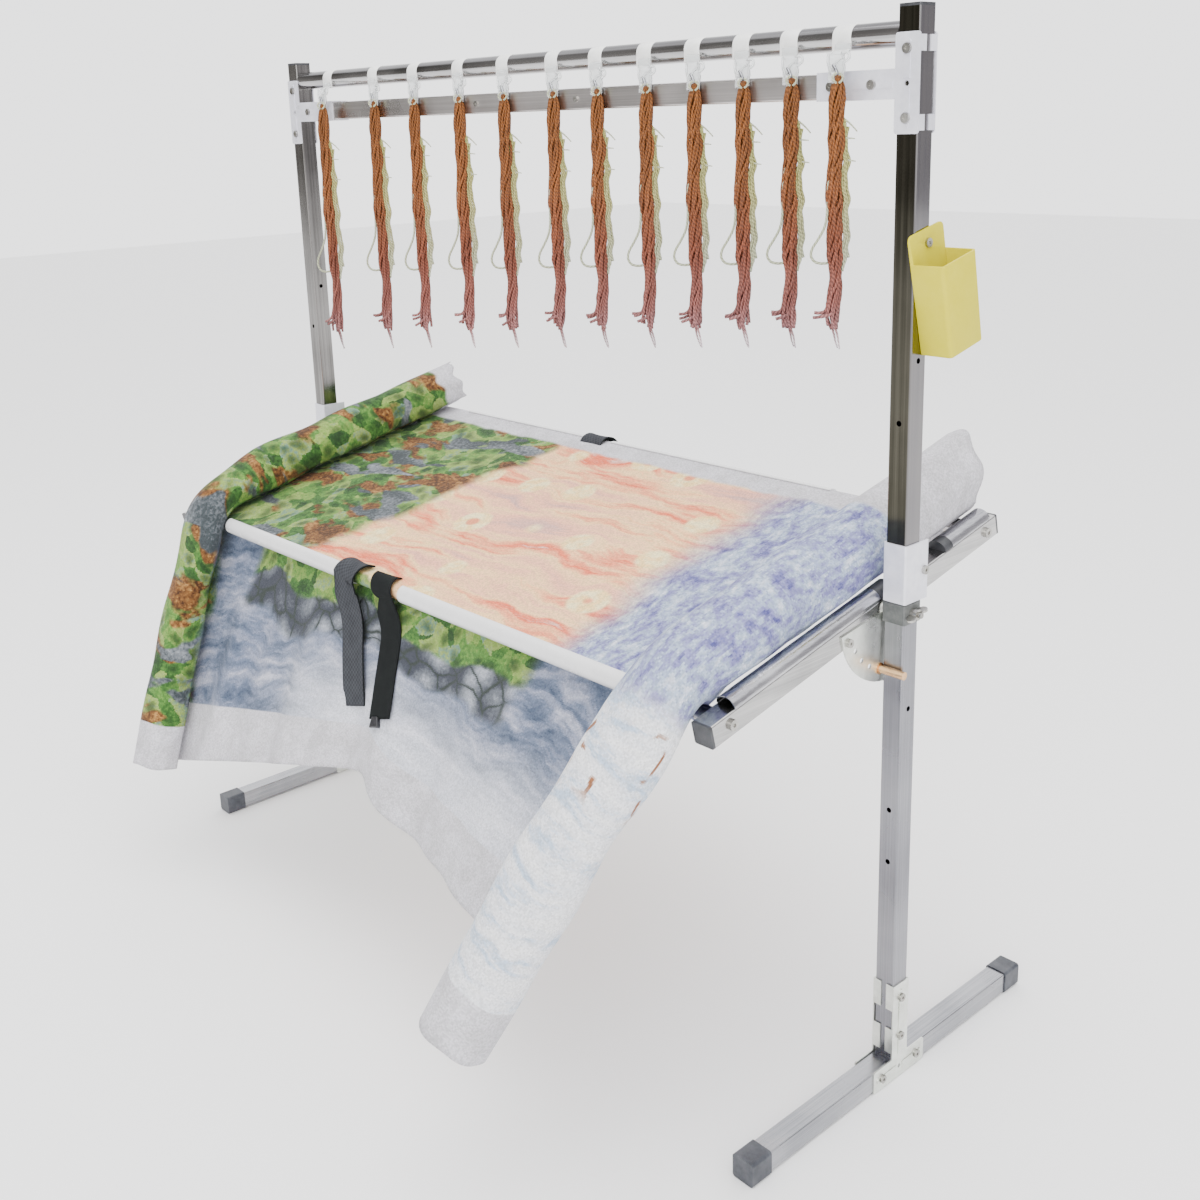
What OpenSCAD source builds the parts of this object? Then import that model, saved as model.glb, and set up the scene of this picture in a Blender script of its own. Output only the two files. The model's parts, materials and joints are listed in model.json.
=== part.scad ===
// Floor stand for cross stitch: two posts on sledge feet, a thread rail across the top,
// and a tilting frame that holds a stretched cloth at working height.
// Millimetres. X runs along the width, Y from front to back, Z up from the floor.

/* [Stand] */
// Distance between the centre lines of the two posts
post_gap = 1140; // [900:5:1300]
// Height of the stand over its top caps
stand_h = 1177; // [1140:1:1300]
// Side of the square steel tube used for feet, posts, arms and rail
tube_w = 25; // [22:0.5:28]
// Wall of the square tube
tube_wall = 1.2; // [0.8:0.1:2]
// Outside corner radius of the square tube
tube_r = 2; // [1.5:0.1:3]
// Length of each foot tube
foot_l = 498; // [420:1:600]
// Height of the joint between the lower and upper post tubes above the pivot
joint_rise = 44; // [40:1:55]
// Length of the inner tubes that join two tubes end to end
connector_l = 70; // [50:1:75]

/* [Caps] */
// Wall of the sleeve caps on the feet
foot_cap_wall = 1.7; // [1.2:0.1:3]
// Length of the sleeve caps on the feet
foot_cap_l = 30; // [20:1:45]
// Thickness of the flanges of the plug caps
cap_flange = 3; // [2:0.1:5]
// Depth of the plug caps inside their tubes
cap_plug = 14; // [8:1:16]

/* [Thread rail] */
// Distance of the centre of the cross rail below the top of the stand
rail_drop = 73; // [68:1:90]
// Place of the joint between the two cross rail tubes, from the middle
rail_joint_x = -9; // [-40:1:40]
// Length of the inner tube of the rail joint
rail_connector_l = 240; // [160:1:300]
// Distance of each rail screw from the rail joint
rail_screw_off = 99; // [60:1:110]
// Distance of the centre of the thread rod below the top of the stand
rod_drop = 27; // [24:1:30]
// Diameter of the thread rod
rod_d = 25; // [20:0.5:26]
// Wall of the thread rod
rod_wall = 1; // [0.8:0.1:1.5]
// Length of the plugs inside the rod and bar ends
plug_l = 24; // [15:1:40]

/* [Tee clamps] */
// Thickness of the clamp plate
clamp_t = 1.5; // [1:0.1:2]
// Length of the crossbar of each tee clamp
clamp_bar = 94; // [86:1:100]
// Length of the leg of each tee clamp beyond the crossbar
clamp_leg = 97; // [85:1:120]
// Depth of the lips that wrap the tube sides
clamp_lip = 9; // [6:0.5:11]
// Length of the lips at the ends of the crossbar
clamp_lip_l = 15; // [10:1:18]
// Distance of the crossbar bolts from the middle of the clamp
clamp_bar_bolt = 32; // [28:1:36]
// Distance of the first leg bolt from the middle of the clamp
clamp_leg_bolt = 41; // [36:1:45]
// Distance of the second leg bolt from the middle of the clamp
clamp_end_bolt = 91; // [75:1:95]
// Diameter of the clamp bolts
bolt_d = 5; // [4:0.5:6]

/* [Tilting frame] */
// Height of the pivot bolts
pivot_z = 568; // [562:1:575]
// Tilt of the frame, front edge down
tilt = 12.7; // [5:0.1:25]
// Length of the arms in front of the pivot
arm_front = 281; // [270:1:320]
// Length of the arms behind the pivot
arm_rear = 211; // [200:1:260]
// Distance of the front bar from the pivot
bar_front = 252; // [245:1:262]
// Distance of the rear bar from the pivot
bar_rear = 188; // [180:1:195]
// Diameter of the round cloth bars
bar_d = 19; // [16:0.5:20]
// Wall of the round cloth bars
bar_wall = 1; // [0.8:0.1:1.5]
// Distance of the upper hole in the front of each lower post below the pivot
front_hole_down = 229; // [200:1:240]
// Distance between the two holes in the front of each lower post
front_hole_gap = 63; // [40:1:80]
// Distance of the hole in the side of each lower post below the pivot
side_hole_down = 109; // [100:1:130]
// Distance of the hole in the front of each upper post below the top
upper_front_hole_down = 405; // [380:1:420]
// Distance of the hole in the side of each upper post below the top
upper_side_hole_down = 341; // [320:1:360]
// Diameter of the pivot bolts and bar screws
pivot_d = 6; // [5:0.5:7]

/* [Tilt stop] */
// Thickness of the sector plates
sector_t = 2; // [1.5:0.1:3]
// Outer radius of the sector plates
sector_r = 82; // [76:1:90]
// Radius of the row of holes in the sector plates
sector_hole_r = 67; // [62:1:70]
// Angle between two holes of the row
sector_step = 15; // [12:0.5:16]
// Distance of the sector plate's bolt in front of the pivot
sector_bolt_front = 72; // [64:1:74]
// Distance of the sector plate's bolt below the arm's centre line
sector_bolt_down = 6; // [3:0.5:7]
// Diameter of the brass stop pins
stop_d = 9; // [7:0.5:10]
// How far the stop pins reach past the posts
stop_over = 6; // [3:0.5:10]
// Clearance between a stop pin and the front of its post
stop_gap = 0.05; // [0.02:0.01:0.1]

/* [Post joint] */
// Wall of the plastic collar around the post at the pivot
collar_wall = 1.8; // [1.4:0.1:2.4]
// Height of the collar
collar_h = 22; // [18:1:23]
// Sheet thickness of the saddle around the post joint
saddle_t = 1.8; // [1.2:0.1:2.5]
// Height of the saddle
saddle_h = 64; // [56:1:70]
// How far the saddle reaches behind the post
saddle_tail = 12; // [10:1:16]

/* [Cloth fittings] */
// Wall of the white half-pipe clamps on the bars
bar_clamp_wall = 1.9; // [1.4:0.1:2.5]
// Height of the half-round clips on the arms
side_clip_h = 11; // [9:0.5:12]
// Wall of the half-round clips
side_clip_wall = 1.4; // [1:0.1:2]
// Length of the black sleeves on the clip ends
clip_sleeve_l = 24; // [15:1:28]
// Thickness of the cloth
cloth_t = 0.5; // [0.3:0.1:0.8]
// Radius of the rolled cloth on the left
left_roll_r = 36; // [25:1:42]
// Radius of the rolled cloth on the right
right_roll_r = 45; // [30:1:50]
// Thickness of the layers of a rolled side
roll_wall = 3; // [1.5:0.5:6]
// Length of the hanging front of the cloth at its longest
drape_l = 360; // [260:5:400]
// Lean of the hanging front of the cloth from upright
drape_lean = 21; // [10:1:30]
// Distance of the first strap from the middle of the bars, towards the left post
first_strap_x = 114; // [85:1:160]
// Distance of the second strap from the middle of the bar, towards the left post
second_strap_x = 38; // [20:1:40]
// How far the hanging ends of the straps swing towards the right post, in degrees
strap_swing = 16; // [0:1:18]
// How far a rolled side reaches past the front bar
roll_front_over = 20; // [10:1:24]
// How far the rolled side on the right reaches past the rear bar
right_roll_rear_over = 36; // [10:1:40]
// How far the rolled side on the left reaches past the rear bar
left_roll_rear_over = 26; // [10:1:40]
// Length of the longer strap's hanging end
strap_l = 200; // [120:5:230]
// Width of the straps
strap_w = 45; // [25:1:46]
// Thickness of a strap
strap_t = 2; // [1.5:0.1:3]

/* [Thread clips] */
// Length of a thread clip along the rod
clip_l = 14; // [10:1:16]
// Wall of the ring of a thread clip
clip_wall = 2.2; // [1.8:0.1:3]
// Height of the tag of a thread clip
tag_h = 56; // [46:1:58]
// Thickness of the tag
tag_t = 2; // [1.5:0.1:3]
// Diameter of the peg that carries a skein
peg_d = 4; // [3:0.5:5]
// Width of a skein
skein_w = 16; // [10:1:18]
// Thickness of a skein
skein_t = 14; // [8:1:16]
// Length of a skein in the middle of the rail
skein_l = 310; // [250:1:360]

/* [Tool box] */
// Distance of the tool box screw below the top of the stand
box_screw_down = 224; // [180:1:280]
// Lean of the tool box on its screw
box_lean = 13; // [0:1:20]
// Width of the tool box at its mouth
box_w = 58; // [45:1:70]
// Depth of the tool box from the post outwards
box_depth = 38; // [28:1:50]
// Height of the tool box below its mouth
box_h = 95; // [70:1:120]
// Height of the tab above the mouth
box_tab = 28; // [24:1:40]
// Wall of the tool box
box_wall = 2; // [1.5:0.1:3]
// How much narrower the bottom is than the mouth
box_taper = 8; // [0:1:14]

/* [Hidden] */
$fn = 48;

// Clearances
fit = 0.1;       // pieces pushed together
run = 0.05;      // pieces that turn or slide on each other
side_gap = 0.25; // between the tilting frame and the fixed collar
over = 1;        // how far a cut runs past the face that it opens

// Square tube and its place in the stand
half = tube_w / 2;
bore_w = tube_w - 2 * tube_wall;
inner_w = bore_w - 2 * fit;
post_x = post_gap / 2;
foot_cap_t = max(foot_cap_wall, clamp_t + 2 * fit);
foot_z = foot_cap_t + half;
post_z0 = foot_z + half;
post_z1 = stand_h - cap_flange;
rail_z = stand_h - rail_drop;
rod_z = stand_h - rod_drop;
box_screw_z = stand_h - box_screw_down;
joint_z = pivot_z + joint_rise;
end_wall = 3;
foot_reach = foot_l / 2 + end_wall;

// Stack of pieces beside the post at the pivot, from the post inwards
collar_half = half + fit + collar_wall;
plate_x = post_x - collar_half - side_gap;
arm_x = plate_x - sector_t - half;
arm_in = arm_x - half;
collar_z0 = pivot_z - collar_h / 2;
saddle_z0 = max(joint_z - saddle_h / 2, collar_z0 + collar_h + fit);
saddle_half = half + fit + saddle_t;
saddle_screw_y = half + saddle_tail / 2;

// Fasteners
bolt_r = bolt_d / 2;
bolt_hole_r = bolt_r + fit;
bolt_head_r = bolt_d * 0.95;
bolt_head_h = bolt_d * 0.6;
nut_h = bolt_d * 0.8;
pivot_r = pivot_d / 2;
pivot_head_r = pivot_d * 0.95;
pivot_head_h = pivot_d * 0.6;
wing_hub_r = pivot_d;
wing_hub_l = pivot_d * 1.3;
wing_span = pivot_d * 2.6;
wing_x = post_x + collar_half + fit;
pivot_end = wing_x + wing_hub_l + 4;
hole_r = 3;

// Heights of the spare holes in the posts
front_holes_z = [pivot_z - front_hole_down - front_hole_gap, pivot_z - front_hole_down];
side_hole_z = pivot_z - side_hole_down;
upper_side_hole_z = stand_h - upper_side_hole_down;
upper_front_hole_z = stand_h - upper_front_hole_down;

// Tilt stop: the pin bears on the front of the post in its last hole
stop_r = stop_d / 2;
stop_y = half + stop_r + stop_gap;
stop_angle = 180 + acos(stop_y / sector_hole_r) - tilt;
sector_bolt = [-sector_bolt_front, -sector_bolt_down];
spare_hole_n = 3;

// Bars and what they carry
bar_r = bar_d / 2;
wrap_r = bar_r + run + cloth_t;
bar_clamp_r0 = wrap_r + run;
bar_clamp_r = bar_clamp_r0 + bar_clamp_wall;
bar_half_l = arm_in - fit;
front_clamps = [[-450, -first_strap_x + 2], [-1, 425]];
rear_clamps = [[-425, -138], [-78, 330]];
front_clip = [-244, -10];
rear_clip = [124, 198];
roll_x = arm_in - right_roll_r - 3;
left_roll_x = arm_in - left_roll_r - 6;

// Where the cloth leaves the front bar, and the ends of the parts that hang from it
drape_y = (-bar_front + 1.6) * cos(tilt) + (bar_clamp_r + 1) * sin(tilt);
drape_z = pivot_z + (-bar_front + 1.6) * sin(tilt) - (bar_clamp_r + 1) * cos(tilt);
drape_outline = [[-0.885, 0], [0.89, 0], [0.69, 0.84], [0.57, 0.81], [0.37, 0.765], [0.17, 0.747],
                 [0.096, 0.714], [0.004, 0.617], [-0.106, 0.65], [-0.354, 0.745], [-0.66, 0.86],
                 [-0.885, 0.96]];
right_roll_top = [roll_x - 2, drape_y - right_roll_r - 16, drape_z + 30];
left_roll_top = [-left_roll_x, drape_y - left_roll_r - 12, drape_z + 30];
right_roll_end = [roll_x - 0.35 * drape_l, drape_y - 0.608 * drape_l, drape_z - 0.944 * drape_l];
left_roll_end = [-left_roll_x + 0.033 * drape_l, drape_y - 0.463 * drape_l, drape_z - 0.927 * drape_l];

// Thread clips: places along the rod as they hang in use
clip_places = [-471, -350, -251, -147, -52, 45, 125, 208, 284, 356, 422, 490];
rod_r = rod_d / 2;
ring_r = rod_r + run + clip_wall;
tag_y = -max(half + clamp_t + bolt_head_h + 1, ring_r + 1.5);
peg_y = tag_y - tag_t - skein_t - 2;
tag_top = rod_z + 8;
peg_z = tag_top - tag_h + 6;
skein_slope = 0.1;

// Tool box
box_x = post_x + half + 0.3;
box_screw_y = 6;
box_out = box_x + box_depth;
box_screw_drop = 14;

// The frame of reference: the floor under the middle of everything the stand covers
stand_dx = -(box_out - pivot_end) / 2;
roll_run = right_roll_end - right_roll_top;
roll_lean_y = roll_run[1] / norm(roll_run);
front_reach = -right_roll_end[1] + right_roll_r * sqrt(1 - roll_lean_y * roll_lean_y);
stand_dy = (front_reach - foot_reach) / 2;

module placed() {
    translate([stand_dx, stand_dy, 0]) children();
}

module tilted() {
    translate([0, 0, pivot_z]) rotate([tilt, 0, 0]) children();
}

// Both sides of the stand: the shape is drawn for the right and mirrored for the left
module both_sides() {
    children();
    mirror([1, 0, 0]) children();
}

module left_side() {
    mirror([1, 0, 0]) children();
}

// Profiles
module round_square(w, r) {
    square([w - 2 * r, w], center = true);
    square([w, w - 2 * r], center = true);
    for (sx = [-1, 1], sy = [-1, 1])
        translate([sx * (w / 2 - r), sy * (w / 2 - r)]) circle(r);
}

module tube_profile(w, wall, r) {
    difference() {
        round_square(w, r);
        round_square(w - 2 * wall, r - wall * 0.6);
    }
}

// Directions for extrusions and cylinders
module along_x() { rotate([90, 0, 90]) children(); }
module along_y() { rotate([-90, 0, 0]) children(); }

// Square tube along Z from z0 to z1
module square_tube(z0, z1, w = tube_w, wall = tube_wall, r = tube_r) {
    translate([0, 0, z0]) linear_extrude(z1 - z0) tube_profile(w, wall, r);
}

module cyl_x(x0, x1, r) {
    translate([x0, 0, 0]) rotate([0, 90, 0]) cylinder(h = x1 - x0, r = r);
}

module cyl_y(y0, y1, r) {
    translate([0, y0, 0]) rotate([-90, 0, 0]) cylinder(h = y1 - y0, r = r);
}

// A hole right through a tube, along X or Y
module hole_x(r) { cyl_x(-half - over, half + over, r); }
module hole_y(r) { cyl_y(-half - over, half + over, r); }

// Pan head bolt along +Z with its nut: the head sits on z = 0, the nut at the far side
module bolt_and_nut(grip, r, head_r, head_h, nut) {
    difference() {
        translate([0, 0, -head_h]) cylinder(h = head_h, r = head_r);
        translate([0, 0, -head_h - over]) cylinder(h = over + head_h * 0.45, r = head_r * 0.35);
    }
    cylinder(h = grip + nut + 2, r = r);
    translate([0, 0, grip]) cylinder(h = nut, r = r * 1.85, $fn = 6);
}

// Pan head screw along +Z, head on z = 0
module screw(l, r, head_r, head_h) {
    difference() {
        translate([0, 0, -head_h]) cylinder(h = head_h, r = head_r);
        translate([0, 0, -head_h - over]) cylinder(h = over + head_h * 0.45, r = head_r * 0.35);
    }
    cylinder(h = l, r = r);
}

// Feet
module foot() {
    color("#b4b7ba") placed() translate([post_x, 0, foot_z]) difference() {
        rotate([90, 0, 0]) translate([0, 0, -foot_l / 2]) linear_extrude(foot_l)
            tube_profile(tube_w, tube_wall, tube_r);
        for (s = [-1, 1]) translate([0, s * clamp_bar_bolt, 0]) hole_x(bolt_hole_r);
    }
}

module right_foot() { foot(); }
module left_foot() { translate([2 * stand_dx, 0, 0]) left_side() foot(); }

// Sleeve cap closed at its outer end, for the front and back of a foot
module foot_cap() {
    outer = tube_w + 2 * foot_cap_t;
    translate([0, foot_reach, 0]) rotate([90, 0, 0]) difference() {
        linear_extrude(foot_cap_l) round_square(outer, tube_r + foot_cap_t);
        translate([0, 0, end_wall]) linear_extrude(foot_cap_l) round_square(tube_w, tube_r);
    }
}

module foot_caps() {
    color("#1f2430") placed() both_sides() translate([post_x, 0, foot_z]) {
        foot_cap();
        mirror([0, 1, 0]) foot_cap();
    }
}

// Posts
module lower_post() {
    color("#a6a9ac") placed() translate([post_x, 0, 0]) difference() {
        square_tube(post_z0, joint_z);
        translate([0, 0, foot_z + clamp_leg_bolt]) hole_x(bolt_hole_r);
        translate([0, 0, foot_z + clamp_end_bolt]) hole_x(bolt_hole_r);
        translate([0, 0, pivot_z]) hole_x(pivot_r + run);
        translate([0, 0, side_hole_z]) hole_x(hole_r);
        for (z = front_holes_z) translate([0, 0, z]) hole_y(hole_r);
    }
}

module right_lower_post() { lower_post(); }
module left_lower_post() { translate([2 * stand_dx, 0, 0]) left_side() lower_post(); }

module upper_post() {
    difference() {
        square_tube(joint_z, post_z1);
        for (s = [-1, 1]) translate([0, 0, rail_z + s * clamp_bar_bolt]) hole_y(bolt_hole_r);
        translate([0, 0, rod_z]) cyl_x(-half - over, 0, bolt_hole_r);
        translate([0, 0, upper_side_hole_z]) hole_x(hole_r);
        translate([0, 0, upper_front_hole_z]) hole_y(hole_r);
    }
}

module right_upper_post() {
    color("#c6c9cc") placed() translate([post_x, 0, 0]) difference() {
        upper_post();
        translate([0, box_screw_y, box_screw_z]) cyl_x(0, half + over, bolt_hole_r);
    }
}

module left_upper_post() {
    color("#c6c9cc") placed() left_side() translate([post_x, 0, 0]) upper_post();
}

// Inner tubes that join the post tubes and the two rail tubes
module tube_connectors() {
    color("#8f9295") placed() {
        both_sides() translate([post_x, 0, 0])
            square_tube(joint_z - connector_l / 2, joint_z + connector_l / 2, inner_w,
                        tube_wall, tube_r - tube_wall * 0.6);
        translate([rail_joint_x - rail_connector_l / 2, 0, rail_z]) rotate([0, 90, 0]) difference() {
            square_tube(0, rail_connector_l, inner_w, tube_wall, tube_r - tube_wall * 0.6);
            for (s = [-1, 1]) translate([0, 0, rail_connector_l / 2 + s * rail_screw_off])
                cyl_y(-half, 0, bolt_hole_r);
        }
    }
}

// Plug cap: a flange on the tube's end and a plug inside it, flange on z = 0 upwards
module plug_cap() {
    linear_extrude(cap_flange) round_square(tube_w, tube_r);
    translate([0, 0, -cap_plug]) linear_extrude(cap_plug + 0.01)
        tube_profile(inner_w, 1.6, tube_r - tube_wall * 0.6);
}

module post_caps() {
    color("#20242b") placed() both_sides() translate([post_x, 0, post_z1]) plug_cap();
}

// Steel saddle around the joint of the two post tubes, open at the back
module joint_saddles() {
    color("#c2c6c8") placed() both_sides() translate([post_x, 0, saddle_z0]) difference() {
        linear_extrude(saddle_h) difference() {
            union() {
                round_square(2 * saddle_half, saddle_t + 0.6);
                translate([-saddle_half, 0]) square([2 * saddle_half, half + saddle_tail]);
            }
            translate([-half - fit, -half - fit])
                square([tube_w + 2 * fit, tube_w + saddle_tail + over]);
        }
        translate([0, saddle_screw_y, saddle_h / 2])
            cyl_x(-saddle_half - over, saddle_half + over, bolt_hole_r);
    }
}

// Plastic collar around the post, with the pivot bolt through it
module pivot_collars() {
    color("#23262a") placed() both_sides() translate([post_x, 0, collar_z0]) difference() {
        linear_extrude(collar_h) difference() {
            round_square(2 * collar_half, tube_r);
            square(tube_w + 2 * fit, center = true);
        }
        translate([0, 0, collar_h / 2])
            cyl_x(-collar_half - over, collar_half + over, pivot_r + run);
    }
}

// Half of a tee clamp, pressed from sheet. The crossbar runs along X with its middle at the
// origin, the leg along +Y, and the tube faces lie at z = 0 with the plate above them.
module clamp_half() {
    w = tube_w + 2 * fit + 2 * clamp_t;
    edge = half + fit;
    lip_z = -clamp_lip;
    difference() {
        union() {
            linear_extrude(clamp_t) {
                square([clamp_bar, w - 6], center = true);
                square([clamp_bar - 6, w], center = true);
                for (sx = [-1, 1], sy = [-1, 1])
                    translate([sx * (clamp_bar / 2 - 3), sy * (w / 2 - 3)]) circle(3);
                translate([-w / 2, 0]) square([w, half + clamp_leg - 3]);
                translate([-w / 2 + 3, 0]) square([w - 6, half + clamp_leg]);
                for (s = [-1, 1]) translate([s * (w / 2 - 3), half + clamp_leg - 3]) circle(3);
            }
            // lips of the crossbar, on the side away from the leg
            for (s = [-1, 1]) translate([s * (clamp_bar / 2 - 3 - clamp_lip_l / 2), 0, 0])
                translate([-clamp_lip_l / 2, -edge - clamp_t, lip_z])
                    cube([clamp_lip_l, clamp_t, clamp_lip + clamp_t]);
            // lips of the leg, on both sides, with a gap between them
            for (s = [-1, 1], y0 = [half + 9, half + clamp_leg - 32])
                translate([s * (edge + clamp_t / 2) - clamp_t / 2, y0, lip_z])
                    cube([clamp_t, 32, clamp_lip + clamp_t]);
            // pressed bead along the leg and crossbar
            translate([0, 0, clamp_t]) linear_extrude(0.9) {
                translate([-3.5, half + 4]) square([7, clamp_leg - 16]);
                translate([0, half + clamp_leg - 12]) circle(3.5);
                translate([-clamp_bar / 2 + 9, -3.5]) square([clamp_bar - 18, 7]);
                for (s = [-1, 1]) translate([s * (clamp_bar / 2 - 9), 0]) circle(3.5);
            }
        }
        for (s = [-1, 1]) translate([s * clamp_bar_bolt, 0, 0]) clamp_hole();
        translate([0, clamp_leg_bolt, 0]) clamp_hole();
        translate([0, clamp_end_bolt, 0]) clamp_hole();
        clamp_hole();
    }
}

// A bolt hole with the bead cut back around it
module clamp_hole() {
    translate([0, 0, -over]) cylinder(h = clamp_t + 2 * over, r = bolt_hole_r);
    translate([0, 0, clamp_t]) cylinder(h = over, r = bolt_head_r + 1);
}

// Foot clamps: leg up the post, crossbar along the foot, one half on each side
module on_foot() {
    translate([half, 0, 0]) rotate([90, 0, 90]) children();
}

module foot_clamps() {
    color("#b7beb1") placed() both_sides() translate([post_x, 0, foot_z]) {
        on_foot() clamp_half();
        mirror([1, 0, 0]) on_foot() clamp_half();
    }
}

// Top clamps: crossbar along the post, leg along the rail, one half on the front and the back
module on_top() {
    translate([0, -half, 0]) rotate([0, -90, 0]) rotate([90, 0, 0]) children();
}

module top_clamps() {
    color("#d3d6da") placed() both_sides() translate([post_x, 0, rail_z]) {
        on_top() clamp_half();
        mirror([0, 1, 0]) on_top() clamp_half();
    }
}

// One through bolt at each used hole of a pair of clamp halves
module clamp_bolt_set() {
    points = [[-clamp_bar_bolt, 0], [clamp_bar_bolt, 0], [0, clamp_leg_bolt], [0, clamp_end_bolt]];
    for (p = points) translate([p[0], p[1], clamp_t]) rotate([180, 0, 0])
        bolt_and_nut(tube_w + 2 * clamp_t, bolt_r, bolt_head_r, bolt_head_h, nut_h);
}

module clamp_bolts() {
    color("#c7c9bf") placed() both_sides() {
        translate([post_x, 0, foot_z]) on_foot() clamp_bolt_set();
        translate([post_x, 0, rail_z]) on_top() clamp_bolt_set();
    }
}

// Bolts of the saddles, screws of the rail joint and the screw of the tool box
module tube_screws() {
    color("#b9bcc0") placed() {
        both_sides() {
            translate([post_x + saddle_half, saddle_screw_y, saddle_z0 + saddle_h / 2])
                rotate([0, -90, 0])
                    bolt_and_nut(2 * saddle_half, bolt_r, bolt_head_r, bolt_head_h, nut_h);
        }
        for (s = [-1, 1]) translate([rail_joint_x + s * rail_screw_off, -half, rail_z])
            rotate([-90, 0, 0]) screw(8, bolt_r, bolt_head_r * 0.8, bolt_head_h * 0.7);
        translate([box_x + box_wall + run, box_screw_y, box_screw_z]) rotate([0, -90, 0])
            screw(box_wall + 0.3 + 8, bolt_r, bolt_head_r, bolt_head_h);
    }
}

// Cross rail in two tubes
module rail_tube(x0, x1) {
    color("#bfc2c5") placed() difference() {
        translate([x0, 0, rail_z]) rotate([0, 90, 0]) square_tube(0, x1 - x0);
        for (s = [-1, 1]) {
            translate([s * (post_x - clamp_leg_bolt), 0, rail_z]) hole_y(bolt_hole_r);
            translate([s * (post_x - clamp_end_bolt), 0, rail_z]) hole_y(bolt_hole_r);
            translate([rail_joint_x + s * rail_screw_off, -half, rail_z])
                cyl_y(-over, tube_wall + over, bolt_hole_r);
        }
    }
}

module right_rail() { rail_tube(rail_joint_x + fit / 2, post_x - half - fit / 2); }
module left_rail() { rail_tube(-post_x + half + fit / 2, rail_joint_x - fit / 2); }

// Round rod that carries the thread clips
module thread_rod() {
    l = post_gap - tube_w - fit;
    color("#d5d8db") placed() translate([0, 0, rod_z]) difference() {
        cyl_x(-l / 2, l / 2, rod_r);
        cyl_x(-l / 2 - over, l / 2 + over, rod_r - rod_wall);
    }
}

// Plugs in the ends of the thread rod, with spigots that sit in holes in the posts
module rod_plugs() {
    color("#30343a") placed() both_sides() translate([0, 0, rod_z]) {
        cyl_x(post_x - half - fit - plug_l, post_x - half - fit, rod_r - rod_wall - run);
        cyl_x(post_x - half - fit - 1, post_x - half + tube_wall + 4, bolt_r);
    }
}

// Pivot bolts through arm, sector plate, collar and post
module pivot_bolts() {
    color("#c9ccce") placed() both_sides() translate([0, 0, pivot_z]) {
        cyl_x(arm_in - run, pivot_end, pivot_r);
        translate([arm_in - run - pivot_head_h, 0, 0]) rotate([0, 90, 0])
            cylinder(h = pivot_head_h, r = pivot_head_r, $fn = 6);
    }
}

// Wing nut on the end of a pivot bolt
module wing_lobe(wing_t, lobe_r) {
    lobe_x = lobe_r + 1;
    translate([lobe_x, wing_span - lobe_r, -wing_t / 2]) cylinder(h = wing_t, r = lobe_r);
    translate([1, 0, -wing_t / 2]) cube([lobe_x + lobe_r * 0.7 - 1, wing_span - lobe_r, wing_t]);
}

module wing_nut() {
    color("#d8dade") placed() translate([wing_x, 0, pivot_z]) rotate([15, 0, 0]) difference() {
        union() {
            cyl_x(0, wing_hub_l, wing_hub_r);
            wing_lobe(2.4, pivot_d * 0.8);
            rotate([180, 0, 0]) wing_lobe(2.4, pivot_d * 0.8);
        }
        cyl_x(-over, 3 * wing_hub_l, pivot_r + run);
    }
}

module right_wing_nut() { wing_nut(); }
module left_wing_nut() { translate([2 * stand_dx, 0, 0]) left_side() wing_nut(); }

// Open tool box that hangs on the right post from one screw through its tab.
// Drawn with the screw at the origin, the back plate on x = 0, width along Y.
module box_block(x0, x1, w_top, w_low, d_low, h, z_top) {
    hull() {
        translate([x0, -w_top / 2, z_top - 0.01]) cube([x1 - x0, w_top, 0.01]);
        translate([x0, -w_low / 2, z_top - h]) cube([d_low, w_low, 0.01]);
    }
}

module tool_box() {
    mouth = box_screw_drop - box_tab;
    low_w = box_w - box_taper;
    low_d = box_depth - box_taper / 2;
    tab_r = 6;
    color("#e6d867") placed() translate([box_x, box_screw_y, box_screw_z])
        rotate([box_lean, 0, 0]) difference() {
            union() {
                box_block(0, box_depth, box_w, low_w, low_d, box_h, mouth);
                translate([0, -box_w / 2, mouth - 4]) cube([box_wall, box_w, box_tab + 4 - tab_r]);
                translate([0, -box_w / 2 + tab_r, mouth]) cube([box_wall, box_w - 2 * tab_r, box_tab]);
                for (s = [-1, 1]) translate([0, s * (box_w / 2 - tab_r), mouth + box_tab - tab_r])
                    cyl_x(0, box_wall, tab_r);
            }
            box_block(box_wall, box_depth - box_wall, box_w - 2 * box_wall, low_w - 2 * box_wall,
                      low_d - 2 * box_wall, box_h - box_wall, mouth + 0.02);
            cyl_x(-over, box_wall + over, bolt_r + run);
        }
}

// Tilting frame. It is drawn level, with the pivot at the origin, Y along the arms
// towards the back and Z away from the cloth's upper side, and then tilted.
module arm() {
    color("#c4c7ca") placed() tilted() translate([arm_x, 0, 0]) difference() {
        translate([0, arm_rear - cap_flange, 0]) rotate([90, 0, 0])
            square_tube(0, arm_front + arm_rear - 2 * cap_flange);
        hole_x(pivot_r + run);
        for (y = [-bar_front, bar_rear]) translate([0, y, 0]) hole_x(pivot_r + fit);
        translate([0, sector_bolt[0], sector_bolt[1]]) hole_x(bolt_hole_r);
    }
}

module right_arm() { arm(); }
module left_arm() { translate([2 * stand_dx, 0, 0]) left_side() arm(); }

module arm_caps() {
    color("#1c1f24") placed() tilted() both_sides() translate([arm_x, 0, 0]) {
        translate([0, arm_rear - cap_flange, 0]) rotate([-90, 0, 0]) plug_cap();
        translate([0, -arm_front + cap_flange, 0]) rotate([90, 0, 0]) plug_cap();
    }
}

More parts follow.
